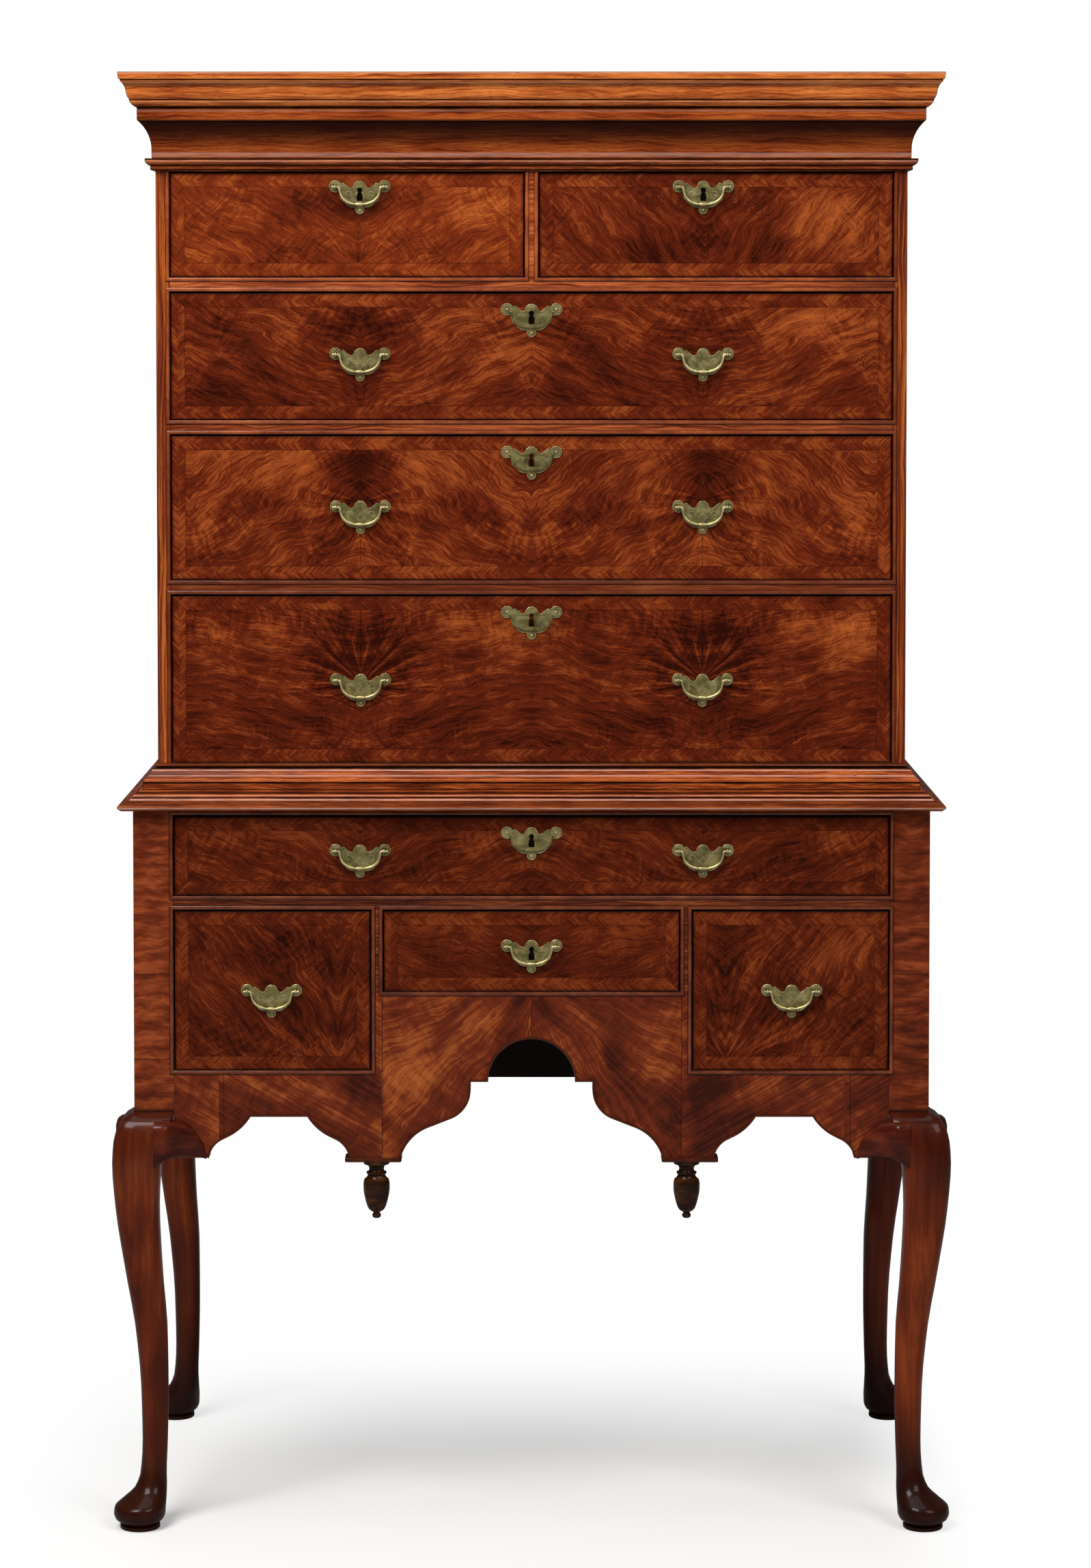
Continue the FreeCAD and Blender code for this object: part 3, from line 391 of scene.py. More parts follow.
def smooth_between(table, z):
    """Monotone cubic values at z from a table of rows (z, a, b, ...) that run downward."""
    rows = table[::-1]
    index = max(0, min(len(rows) - 2, sum(1 for row in rows if row[0] <= z) - 1))
    low, high = rows[index], rows[index + 1]
    span = high[0] - low[0]
    t = (z - low[0]) / span

    def slope(at, column):
        """The harmonic mean of the slopes on both sides, or the only one at an end."""
        near = rows[max(0, at - 1):at + 2]
        slopes = [(b[column] - a[column]) / (b[0] - a[0]) for a, b in zip(near, near[1:])]
        left, right = slopes[0], slopes[-1]
        return 0 if left * right <= 0 else 2 * left * right / (left + right)

    values = []
    for column in range(1, len(low)):
        s0, s1 = slope(index, column) * span, slope(index + 1, column) * span
        a, b = low[column], high[column]
        values.append((2 * t ** 3 - 3 * t ** 2 + 1) * a + (t ** 3 - 2 * t ** 2 + t) * s0
                      + (3 * t ** 2 - 2 * t ** 3) * b + (t ** 3 - t ** 2) * s1)
    return values


def new_object(name, points, faces):
    """An object whose mesh has these points, given in millimetres."""
    mesh = bpy.data.meshes.new(name)
    mesh.from_pydata([dim(point, MM) for point in points], [], faces)
    piece = bpy.data.objects.new(name, mesh)
    bpy.context.scene.collection.objects.link(piece)
    return piece


class Shape:
    """Points and faces gathered into one mesh, in millimetres."""

    def __init__(self):
        self.points, self.faces, self.slots = [], [], []
        self.edge_mark, self.across, self.up = [], [], []
        self.centre = None

    def add(self, points, edge_mark=0):
        """Adds points with one edge mark, or one for each of them, and gives their indices."""
        start = len(self.points)
        self.points += points
        self.edge_mark += edge_mark if isinstance(edge_mark, list) else [edge_mark] * len(points)
        # Places on a plate, measured from its middle.
        x, z = self.centre or (1e6, 1e6)
        self.across += [point[0] - x for point in points]
        self.up += [point[2] - z for point in points]
        return list(range(start, start + len(points)))

    def face(self, indices, slot=0):
        self.faces.append(tuple(indices))
        self.slots.append(slot)

    def rows(self, rows, edge_mark=0, capped=True, slot=0):
        """Skins closed rings of points of equal length."""
        rings = [self.add(list(row), edge_mark) for row in rows]
        for low, high in zip(rings, rings[1:]):
            for step in range(len(low)):
                self.face((low[step - 1], low[step], high[step], high[step - 1]), slot)
        if capped:
            self.face(reversed(rings[0]), slot)
            self.face(rings[-1], slot)

    def sheet(self, loops, place):
        """A flat face with holes; loops are 2-D rings and place makes a point of each."""
        indices = self.add([place(*point) for loop in loops for point in loop])
        for triangle in tessellate_polygon([[Vector((u, w, 0)) for u, w in loop] for loop in loops]):
            self.face([indices[corner] for corner in triangle])

    def object(self, name, materials, replaces, angle, body="root"):
        """Makes the piece; edges sharper than angle stay sharp."""
        piece = new_object(name, self.points, self.faces)
        mesh = piece.data
        for title, numbers in (("edge_mark", self.edge_mark), ("across", self.across), ("up", self.up)):
            mesh.attributes.new(title, "FLOAT", "POINT").data.foreach_set("value", numbers)
        for material in materials:
            mesh.materials.append(material)
        for polygon, slot in zip(mesh.polygons, self.slots):
            polygon.material_index = slot
        grid = bmesh.new()
        grid.from_mesh(mesh)
        bmesh.ops.remove_doubles(grid, verts=grid.verts, dist=1e-6)
        bmesh.ops.recalc_face_normals(grid, faces=grid.faces)
        grid.to_mesh(mesh)
        grid.free()
        mesh.shade_smooth()
        mesh.set_sharp_from_angle(angle=radians(angle))
        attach(piece, body)
        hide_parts(*replaces)


# ---- Woods ----
GLINT = (0.50, 0.42, 0.39)       # light caught on a polished edge


def wood_parts(m, along, across, depth):
    """Straight-grained wood: broad stripes, crisp lines, fibres, pores and a slow cloud."""
    drift = m.sway(along * 0.004, across * 0.01, depth * 0.01, 22)
    waver = m.sway(along * 0.02, across * 0.05, depth * 0.05, 3)
    level = across + drift + waver
    wide = m.noise(along * 0.0030, level * 0.11, depth * 0.11, 3, 0.6)
    lines = m.noise(along * 0.0045, level * 0.42, depth * 0.42, 3, 0.7)
    fibre = m.noise(along * 0.02, across * 1.3, depth * 1.3, 3, 0.65)
    pores = m.noise(along * 0.055, across * 2.6, depth * 2.6, 1).rise(0.62, 0.72)
    cloud = m.noise(along * 0.006, across * 0.012, depth * 0.012)
    return wide, lines, fibre, pores, cloud


def round_the_case(m):
    """Grain coordinates of a moulding that runs round the upper case, and its two mitre lines."""
    out = abs(m.x) - UPPER_HALF
    past = out - (UPPER_FRONT - m.y)
    side = past.over(0)
    along = side.choose(m.x, m.y + 731)
    across = side.choose(m.y, m.x)
    return along, across, abs(past).fall(0.25, 0.7) * out.over(0)


def moulding_wood(name, dark, middle, light, gloss, dirt_and_shade_lines, painted_glints, shade=None):
    """Straight-grained walnut of a moulding, with dirt and painted shade in its hollows and wear and painted
    highlight on its edges.

    dirt_and_shade_lines give (height, half width, strength) of dark quirks, which are dirt and painted
    shadow lines, and painted_glints the same of pale lines of painted light on the edges; shade gives the
    foot, head and upper end, in height, and the depth of a painted shade that darkens upward.
    """
    m = Material(name)
    along, across, mitre = round_the_case(m)
    wide, lines, fibre, pores, cloud = wood_parts(m, along * 2.2, across * 0.6 + m.z, across)
    tone = wide.rise(0.3, 0.7) * 0.26 + lines.rise(0.38, 0.62) * 0.34 + fibre.rise(0.3, 0.7) * 0.30
    m.stain(tone + cloud.rise(0.3, 0.7) * 0.18 - 0.04, (0.10, dark), (0.50, middle), (0.92, light))
    m.paint(lines.rise(0.60, 0.66) * cloud.rise(0.44, 0.58) * 0.7, dim(dark, 0.4))
    m.paint(pores * 0.6, dim(dark, 0.3))
    # Painted shade, darker upward over part of the moulding.
    if shade:
        foot, head, end, depth = shade
        m.paint(m.z.rise(foot, head) * m.z.under(end) * depth, dim(dark, 0.3))
    rubbed_and_lit, dirt_and_shade = m.edge_mark()
    rub = m.noise(along * 0.03, m.z * 0.4, across * 0.4, 5, 0.65).rise(0.36, 0.60)
    # Wear and painted highlight on the arrises.
    m.paint(rubbed_and_lit * (rub * 0.45 + 0.15), light)
    # Painted glints: pale lines of light along the polished edges.
    glint_mask = 0
    for height, width, strength in painted_glints:
        glint_mask = m.z.near(height, width * 0.5, width, strength).most(glint_mask)
    m.paint(glint_mask * (rub * 0.5 + 0.5), tuple(c * 0.4 + g * 0.6 for c, g in zip(light, GLINT)))
    # Dark quirks: dirt and painted shadow lines in the hollows and under the overhangs.
    for height, width, strength in dirt_and_shade_lines:
        dirt_and_shade = dirt_and_shade.most(m.z.near(height, width * 0.6, width, strength))
    m.paint(dirt_and_shade * (rub * -0.12 + 1), dim(dark, 0.06))
    # Dust and old polish have dulled the upper side of the crown.
    m.paint(m.z.over(TOP - 0.9) * (cloud.rise(0.3, 0.7) * 0.12 + 0.80), (0.115, 0.046, 0.020))
    specks = m.noise(along * 0.11, m.z * 0.6, across * 0.5, 1).rise(0.74, 0.79)
    m.paint((specks * 0.8).most(mitre * 0.85), (0.012, 0.004, 0.002))
    return m.finish(fibre * 0.10 + 0.16, fibre * 0.12 - pores * 0.2, Specular_IOR_Level=gloss)


def shade_down_and_right(m):
    """Painted shade on the upper case's frame: darker downward, and toward its right side."""
    upper = m.z.over(SEAT)
    return (m.z.fall(1090, 1430, 0.62) * upper).most(m.x.rise(330, 430, 0, 0.55) * upper)


def bead_wood(name, dark, middle, light):
    """The small half-round beads: wear and painted highlight on their noses, dirt and painted shade where
    they meet the case.
    """
    m = Material(name)
    cloud = m.grain(0.02, 0.02, 0.02, 5, 0.65)
    m.stain(cloud, (0.32, dark), (0.50, middle), (0.68, light))
    rubbed_and_lit, dirt_and_shade = m.edge_mark()
    rub = m.noise(m.x * 0.03, m.z * 0.03, 5, 5, 0.7).rise(0.36, 0.62)
    # Wear and painted highlight along the noses.
    m.paint(rubbed_and_lit * (rub * 0.65 + 0.15), dim(light, 1.1))
    # Painted shade, darker downward and toward the right.
    m.paint(shade_down_and_right(m), dim(dark, 0.7))
    # Dirt and painted shade where the beads meet the case.
    m.paint(dirt_and_shade, dim(dark, 0.05))
    return m.finish(cloud * 0.1 + 0.13, Specular_IOR_Level=0.34)


def case_wood(name, upright, dark, middle, light):
    """Walnut boards of the case, the grain upright or level."""
    m = Material(name)
    along, across = (m.z, m.x) if upright else (m.x * 2, m.z)
    wide, lines, fibre, pores, cloud = wood_parts(m, along, across, m.y)
    tone = wide.rise(0.3, 0.7) * 0.34 + lines.rise(0.40, 0.60) * 0.40 + fibre.rise(0.3, 0.7) * 0.22
    tone = tone + cloud.rise(0.3, 0.7) * 0.10 - 0.04
    if upright:
        # The broad outer faces are calmer than the narrow front edges.
        calm = wide * 0.5 + lines * 0.14 + fibre * 0.12 + cloud.rise(0.25, 0.75) * 0.34 - 0.12
        tone = m.y.over(UPPER_FRONT + 1.5).choose(tone, calm)
    m.stain(tone, (0.08, dark), (0.50, middle), (0.92, light))
    # Painted shade on the rails, darker downward and toward the right.
    if not upright:
        m.paint(shade_down_and_right(m), dark)
    # Painted shade on the upper case's front near its right side.
    m.paint(m.x.rise(400, 440, 0, 0.22) * m.z.over(SEAT) * m.y.under(UPPER_FRONT + 1), dark)
    m.paint(pores * 0.6, dim(dark, 0.35))
    return m.finish(fibre * 0.12 + 0.3, fibre * 0.12 - pores * 0.2, Specular_IOR_Level=0.12)


def pine(name, level):
    """Unfinished pine inside the case, with its grain level or running to the back."""
    m = Material(name)
    along, across, depth = (m.x, m.z, m.y) if level else (m.y, m.x, m.z)
    wide, _, fibre, _, cloud = wood_parts(m, along, across, depth)
    rings = m.noise(along * 0.002, across * 0.06, depth * 0.06, 1, distortion=0.6)
    m.stain(wide * 0.35 + fibre * 0.3 + cloud * 0.3 + rings * 0.2 - 0.05,
            (0.3, (0.20, 0.074, 0.022)), (0.5, (0.38, 0.165, 0.058)), (0.75, (0.54, 0.28, 0.11)))
    grime = m.grain(0.004, 0.004, 0.008, 5, 0.6).rise(0.42, 0.78)
    m.paint(grime * 0.30, (0.120, 0.048, 0.016))
    # Painted shade: the inner face of the lower back board is painted nearly black, as it lies in shade
    # inside the case.
    painted_dark_inside = m.z.under(LOWER_TOP) * m.y.under(BACK - 17) * m.y.over(BACK - 19)
    m.paint(painted_dark_inside, m.mix(grime, (0.004, 0.0015, 0.001), (0.022, 0.007, 0.003)))
    return m.finish(0.72, fibre * 0.25, Specular_IOR_Level=0.12)


def dark_walnut(name, dark, middle, light):
    """Dark polished walnut of the small carved and turned pieces."""
    m = Material(name)
    fibre = m.grain(0.03, 0.03, 0.08, 6, 0.6)
    m.stain(fibre, (0.26, dark), (0.5, middle), (0.76, light))
    rubbed_and_lit, _ = m.edge_mark()
    # Wear and painted highlight on the arrises.
    m.paint(rubbed_and_lit * 0.5, dim(light, 1.5))
    return m.finish(0.3, fibre * 0.1, Specular_IOR_Level=0.05, Coat_Weight=0.18, Coat_Roughness=0.06)


def leg_wood(name):
    """Cabriole legs of solid walnut below, cross-banded posts above."""
    m = Material(name)
    wide, lines, fibre, pores, cloud = wood_parts(m, m.z, m.x, m.y)
    tone = wide.rise(0.3, 0.7) * 0.24 + lines.rise(0.38, 0.62) * 0.07 + fibre * 0.16
    m.stain(tone + cloud.rise(0.3, 0.7) * 0.4 + 0.02,
            (0.12, (0.040, 0.0050, 0.001)), (0.5, (0.128, 0.0175, 0.003)), (0.9, (0.28, 0.056, 0.010)))
    m.paint(pores * 0.35, (0.012, 0.003, 0.002))
    # Feet and knees are darker than the shins, and the rear legs carry painted shade that makes them darker
    # than the front ones.
    m.paint(m.z.fall(40, 165) * 0.90, (0.010, 0.0028, 0.0015))
    m.paint(m.z.rise(385, 480, 0, 0.62).most(m.z.rise(478, 500, 0, 0.85)), (0.030, 0.0045, 0.0022))
    m.paint(m.y.over(0) * 0.35, (0.012, 0.003, 0.002))
    post = m.z.over(KNEE_TOP + 0.2) * abs(m.x).over(POST_IN - 2)
    m.paint(post, post_veneer(m))
    return m.finish(fibre * 0.14 + 0.24, fibre * 0.08, Specular_IOR_Level=0.06, Coat_Roughness=0.07,
                    Coat_Weight=(post * -1 + 1) * 0.14)


def post_veneer(m):
    """Level grain on the posts, one leaf above another."""
    high, middle, low = POST_JOINTS
    leaf = m.z.over(high) * 5 + m.z.over(middle) * 3 + m.z.over(low) * 2 + m.x.over(0) * 11
    joint = 0
    for height in POST_JOINTS:
        joint = m.z.near(height, 0.3, 0.8).most(joint)
    level = m.z + m.sway(m.x * 0.03, m.z * 0.02, leaf, 16)
    streak = m.noise(m.x * 0.025, level * 0.09, leaf, 6, 0.62)
    # Painted light and shade: the left post a little lighter, the right one darker.
    streak = streak + m.sway(m.x * 0.06, level * 1.1, leaf, 0.25, 3) + m.x.rise(-400, 400, 0.035, -0.03)
    colour = m.ramp(streak, (0.30, (0.052, 0.009, 0.004)), (0.5, (0.140, 0.0235, 0.0075)),
                    (0.70, (0.31, 0.066, 0.019)))
    cracks = m.noise(m.x * 0.035, level * 0.75, leaf).rise(0.62, 0.72)
    colour = m.mix(cracks * 0.5, colour, (0.020, 0.005, 0.002))
    colour = m.mix(joint * 0.7, colour, (0.014, 0.006, 0.004))
    return m.mix(m.z.fall(KNEE_TOP + 1, KNEE_TOP + 7, 0.9), colour, (0.010, 0.003, 0.002))


# ---- Veneers ----
BAND = 16.3                      # width of the herringbone band round a drawer front


def crotch_figure(m, u, w, seed, look):
    """Feathered crotch walnut: swirls everywhere, with rays and short strokes round a point on the seam.

    u is the distance from the seam and w the height over the point.  It gives the tone, a slow cloud,
    and masks of fine fibres and pores.
    """
    spread, sunburst, slant = look["spread"], look["sunburst"], look["slant"]
    bend_u, bend_w = (m.sway(u * 0.009, w * 0.011, seed + shift, 52) for shift in (0, 7))
    curl_u, curl_w = (m.sway(u * 0.050, w * 0.050, seed + shift, 8) for shift in (4, 11))
    bent_u, bent_w = u + bend_u + curl_u, w + bend_w + curl_w
    lean_u = bent_u * cos(slant) + bent_w * sin(slant)
    lean_w = bent_w * cos(slant) - bent_u * sin(slant)

    def leaning(ku, kw, shift, detail, roughness=0.5):
        return m.noise(lean_u * ku, lean_w * kw, seed + shift, detail, roughness)

    swirl = leaning(0.014, 0.026, 3, 4, 0.58).rise(0.30, 0.70)
    brush = leaning(0.020, 0.15, 9, 5, 0.66).rise(0.36, 0.64)
    ripple = leaning(0.20, 0.035, 5, 4, 0.6).rise(0.36, 0.64)
    thread = leaning(0.045, 0.42, 31, 4, 0.7).rise(0.34, 0.66)
    fine = leaning(0.10, 0.95, 0, 4, 0.72)
    pores = leaning(0.09, 1.7, 1, 1).rise(0.60, 0.70)
    rippled = m.noise(u * 0.013, w * 0.016, seed + 15).rise(0.46, 0.60)
    grit = m.noise(u * 0.55, w * 0.9, seed + 1, 3, 0.7)
    tone = swirl * 0.26 + brush * 0.16 + thread * 0.20 + (ripple - 0.5) * rippled * 0.16
    tone = tone + (fine - 0.5) * 0.44 + (grit - 0.5) * 0.36 - 0.04
    # The rays of the sunburst, and dark strokes among them.
    swing = (u + bend_u * 0.35 + 4).math("ARCTAN2", w + bend_w * 0.35)
    reach = (u * u + w * w + 30).math("SQRT") + bend_u * 0.25
    close = reach.fall(spread * 0.35, spread * 1.2) * w.rise(-30, 6)
    rays = m.noise(swing * 9, reach * 0.007, seed, 4, 0.62).rise(0.34, 0.66)
    strokes = m.noise(swing * 26, reach * 0.05, seed + 6, 3, 0.6).rise(0.52, 0.64)
    stroked = m.noise(u * 0.022, w * 0.030, seed + 25).rise(0.44, 0.58)
    tone = tone + (rays - 0.55) * close * sunburst - strokes * stroked * close * (0.02 + sunburst * 0.5)
    return tone, swirl, fine, pores


def soft_patch(x, z, patch):
    """A cloudy patch (x, z, half width, half height, change of tone)."""
    cx, cz, wide, tall, change = patch
    return ((x - cx) * (1 / wide)).reach((z - cz) * (1 / tall)).fall(0.15, 1.4, change * 0.8)


def herringbone(m, opening, seed):
    """The distance in from a front's edge, its mitre lines, and the tone of the band of feathers."""
    x0, x1, z0, z1 = opening
    right, left = x1 - GAP_SIDE - m.x, m.x - (x0 + GAP_SIDE)
    top, foot = z1 - GAP_TOP - m.z, m.z - (z0 + GAP_FOOT)
    dx, dz = right.least(left), top.least(foot)
    edge = dx.least(dz)
    upright = dx.under(dz)
    run = upright.choose(m.x, m.z)
    lean = edge * edge.over(BAND / 2).choose(1, -1) * 0.707
    side = upright.choose(top.under(foot).choose(11, 31), right.under(left).choose(53, 71))
    feather = m.noise((run * 0.707 + lean) * 0.32 + side, (run * 0.707 - lean) * 0.030, seed, 4, 0.66)
    broad = m.noise(run * 0.02 + side, edge * 0.03, seed, 4, 0.6)
    mitre = abs(dx - dz).fall(0.2, 0.6, 0.5) * edge.under(BAND)
    return edge, mitre, feather.rise(0.34, 0.66) * 0.22 + broad.rise(0.32, 0.68) * 0.26


def seam_line(m, seam, inner, outer):
    """A joint between two leaves, a little uneven."""
    return abs(m.x - seam + m.sway(m.z * 0.03, seam, 0, 1.2)).fall(inner, outer)


def veneered_front(drawer, look, seed):
    """A drawer front: crotch-figured leaves matched at their seams inside a herringbone band."""
    name, opening, face, _, handles, keyholes = drawer
    m = Material(name + "_veneer")
    edge, mitre, feathers = herringbone(m, opening, seed)
    seams = look["seams"]
    u = m.x - (seams[0] if seams else look["point"][0])
    u = u.math("PINGPONG", seams[1] - seams[0]) if len(seams) > 1 else abs(u)
    # Neighbouring leaves are alike, but not the same.
    wander = m.sway(m.x * 0.006, m.z * 0.008, seed + 20, 30)
    height = (m.z - look["point"][1] + wander) * look.get("way", 1)
    tone, cloud, fine, pores = crotch_figure(m, u + wander * 0.4, height, seed, look)
    drift_x = m.x + m.sway(m.x * 0.02, m.z * 0.02, seed + 40, 60, 3)
    drift_z = m.z + m.sway(m.x * 0.02, m.z * 0.02, seed + 50, 45, 3)
    for patch in look["patches"]:
        tone = tone + soft_patch(drift_x, drift_z, patch)
    tone = edge.under(BAND).choose(tone + look["tint"], feathers + (fine - 0.5) * 0.3 + look["band"])
    dark, middle, light = look["tones"]
    m.stain(tone, (0.03, dark), (0.36, middle), (0.80, light))
    m.paint(pores * 0.45, dim(dark, 0.35))

    # Joints, dirt and painted shade at the edges, and dirt round the brasses.
    joint = edge.near(BAND, 0.2, 0.6, 0.5)
    for seam in seams:
        depth = 0.4 if seam == 0 else 1
        joint = joint.most(seam_line(m, seam, 0.15, 0.5) * edge.over(BAND) * (cloud * 0.4 + 0.35) * depth)
    # Painted shade along the front's edges, where the gap round it lies in shadow, mixed with dirt.
    grime = edge.fall(0, 4, 0.8)
    for x, z in handles + tuple(spot for spot in keyholes if spot not in handles):
        halo = ((m.x - x) * (m.x - x) * 0.40 + (m.z - z) * (m.z - z)).math("SQRT")
        grime = grime.most(halo.fall(16, 34, 0.35))
    for x, z, size in look.get("bruises", ()):
        spot = ((drift_x - x) * (drift_x - x) * 0.4 + (drift_z - z) * (drift_z - z)).math("SQRT")
        marks = m.noise(m.x * 0.5, m.z * 0.9, x).rise(0.54, 0.60)
        grime = grime.most(spot.fall(size * 0.3, size, 1.3) * marks)
    m.paint(joint.most(mitre).most(grime * (cloud * 0.5 + 0.5)), dim(dark, 0.25))
    # Painted shade: the veneer behind each keyhole is painted near-black, as the hole is dark inside.
    for x, z in keyholes:
        hole = abs(m.x - x).under(4.8) * abs(m.z - z - 3).under(10)
        m.paint(hole * look.get("hole", 1), (0.002, 0.001, 0.001))
    # The board behind the veneer shows on the ends and back.
    core = m.ramp(m.noise(m.x * 0.01, m.z * 0.5, m.y * 0.5, 3),
                  (0.3, (0.12, 0.06, 0.028)), (0.7, (0.30, 0.17, 0.08)))
    m.paint(m.y.over(face + 1.3), core)
    return m.finish(fine * 0.14 + 0.26, fine * 0.10 - pores * 0.12, Specular_IOR_Level=0.06)


def apron_veneer(name, dark, middle, light):
    """The apron: leaves whose grain runs out from the arch, and slanting leaves outside them."""
    m = Material(name)
    ax = abs(m.x)
    outer = ax.over(180)
    warp = m.sway(m.x * 0.012, m.z * 0.012, 3, 40, 3)
    px, pz = ax + warp, m.z + warp * 0.6
    swing = (pz - 700).math("ARCTAN2", px + 30)
    leaf = outer.choose(m.x.over(0) * 9, ax.over(375) * 13 + m.x.over(0) * 5 + 21)
    across = outer.choose(swing * 130, px * 0.5 - pz * 0.866)
    along = outer.choose((px + 30).reach(pz - 700), px * 0.866 + pz * 0.5)
    cloud = m.noise(along * 0.010, across * 0.026, leaf, 3).rise(0.32, 0.68)
    streak = m.noise(along * 0.012, across * 0.30, leaf, 4, 0.62).rise(0.36, 0.64)
    curl = m.noise(along * 0.11, across * 0.035, leaf + 3, 3, 0.6).rise(0.36, 0.64)
    fine = m.noise(along * 0.06, across * 1.3, leaf, 3, 0.6)
    pores = m.noise(along * 0.09, across * 1.9, leaf, 1).rise(0.6, 0.7)
    tone = cloud * 0.36 + streak * 0.20 + curl * 0.10 + (fine - 0.5) * 0.50 + 0.10
    tone = tone + m.x.rise(-60, 60, 0.03, -0.08)
    # Orange where the ogees swell, dark beside them and along the top.
    for patch in ((150, 575, 38, 60, 0.20), (205, 520, 26, 80, -0.16), (20, 640, 40, 26, -0.10)):
        tone = tone + soft_patch(ax + warp * 0.6, pz, patch)
    m.stain(tone, (0.1, dark), (0.48, middle), (0.85, light))
    m.paint(pores * 0.45, dim(dark, 0.3))
    seams = 0
    for seam in (-369, -179, 0, 180, 382):
        seams = seam_line(m, seam, 0.2, 0.7).most(seams)
    m.paint(seams * 0.8, (0.010, 0.003, 0.002))
    m.paint(m.y.over(LOWER_FRONT + 1.3), (0.05, 0.02, 0.009))
    return m.finish(fine * 0.12 + 0.28, fine * 0.1, Specular_IOR_Level=0.12)


# ---- Brass ----
def engraving(u, w):
    """A quatrefoil in the middle of a plate, scrolls beside it and flutes on the ears."""
    side = abs(u)
    turn, reach = w.math("ARCTAN2", u), u.reach(w)
    petals = abs((turn * 4).math("COSINE") * 1.2 + 3.9 - reach).fall(0.16, 0.55)
    ear_u, ear_w = side - EAR_X, w - EAR_Z
    ear_turn, ear_reach = ear_w.math("ARCTAN2", ear_u), ear_u.reach(ear_w)
    flutes = (ear_turn * 9).math("SINE").rise(0.55, 0.9) * ear_reach.rise(3, 3.6) * ear_reach.under(6)
    scroll_u, scroll_w = side - 14, w - 3.4
    scroll_turn = scroll_w.math("ARCTAN2", scroll_u)
    scroll = abs(scroll_u.reach(scroll_w) - scroll_turn * 0.75 - 2.6).fall(0.14, 0.5)
    return petals.most(flutes).most(scroll)


def brass(name, dark, middle, light):
    """Old brass: greenish-yellow and engraved; dirt and painted shade in the hollows, wear and painted
    highlight where hands rub it.
    """
    m = Material(name)
    cloud, fine = m.grain(0.09, 0.09, 0.09, 4, 0.6), m.grain(0.9, 0.9, 0.9, 3)
    m.stain(cloud * 0.75 + fine * 0.25, (0.3, dark), (0.5, middle), (0.72, light))
    u, w, mark = m.attribute("across"), m.attribute("up"), m.attribute("edge_mark")
    cuts = engraving(u, w) * mark.over(-0.05) * mark.under(0.05)
    m.paint(cuts * 0.7, (0.52, 0.46, 0.26))
    # Painted shadow of the hanging bail, a dark band on the plate just under it.
    below = ((w - PIN_Z) * (-1 / BAIL_DROP)).most(0).math("POWER", 2.5)
    bail_shadow = (abs(u) * (1 / BAIL_HALF)).math("POWER", 2.5) + below
    m.paint(bail_shadow.near(1.22, 0.10, 0.30) * w.under(10) * 0.6, (0.040, 0.028, 0.010))
    rubbed_and_lit, dirt_and_shade = m.edge_mark()
    # Wear and painted highlight on the rims; dirt and painted shade in the hollows.
    m.paint(rubbed_and_lit * 0.75, (0.72, 0.63, 0.34))
    m.paint(dirt_and_shade * 0.85, (0.028, 0.019, 0.008))
    return m.finish(fine * 0.15 + cloud * 0.15 + 0.26, fine * 0.25 - cuts * 0.5, Metallic=0.8)


# ---- Mouldings ----
def swept(shape, section, edge_mark):
    """A closed section of (projection, height) run round the front and both sides of the upper case."""
    rows = []
    for sign, behind in ((-1, True), (-1, False), (1, False), (1, True)):
        rows.append([(sign * (UPPER_HALF + p), BACK if behind else UPPER_FRONT - p, z) for p, z in section])
    shape.rows(rows, edge_mark)


def moulding(name, line, radius, wood):
    """One moulding from its section, with its arrises rounded to radius."""
    section = softened(line.points, radius)
    shape = Shape()
    swept(shape, [point for point, _ in section], [mark for _, mark in section])
    shape.object(name, [wood], [name + "_moulding"], 50)


def crown():
    """Fascia, fillet, cyma, band and ovolo."""
    wood = moulding_wood(
        "crown_walnut", (0.17, 0.021, 0.005), (0.50, 0.118, 0.023), (0.84, 0.27, 0.060), 0.08,
        dirt_and_shade_lines=((TOP - 9.6, 1.2, 0.75), (TOP - 15.6, 2.6, 0.45), (TOP - 32.8, 1.1, 0.8),
                (CROWN_FOOT + 0.3, 1.9, 1)),
        painted_glints=((TOP - 1.2, 1.4, 0.6), (TOP - 12.4, 0.9, 0.9), (CROWN_FOOT + 6.6, 0.9, 0.35)))
    cyma = TOP - 11.5
    line = Line((0, TOP), (41, TOP), (40, TOP - 8.5), (38, TOP - 8.5), (38, cyma), (37.3, cyma))
    line.bow(((38 + 28.3) / 2 - 1.1, cyma - 10.25), -0.9).bow((28.3, cyma - 20.5), 0.8)
    line.to((28, CROWN_FOOT + 7.3)).bow((20, CROWN_FOOT), 1).to((0, CROWN_FOOT))
    moulding("crown", line, 0.8, wood)


def cove():
    """A fascia over a large cove."""
    fascia = CROWN_FOOT - 15.2
    wood = moulding_wood(
        "cove_walnut", (0.055, 0.006, 0.002), (0.275, 0.048, 0.0105), (0.46, 0.120, 0.022), 0.05,
        dirt_and_shade_lines=((CROWN_FOOT, 1.6, 1), (fascia, 2.6, 0.6), (COVE_FOOT, 1.2, 1)),
        painted_glints=((CROWN_FOOT - 3.4, 1.4, 0.30), (COVE_FOOT + 4.6, 3.4, 0.40)),
        shade=(COVE_FOOT - 4, COVE_FOOT + 39, fascia, 0.93))
    line = Line((0, CROWN_FOOT), (20, CROWN_FOOT), (20, CROWN_FOOT - 14.5))
    line.bow((4.3, COVE_FOOT + 13.5), -3.6, 14).to((4, COVE_FOOT), (0, COVE_FOOT))
    moulding("cove", line, 0.8, wood)


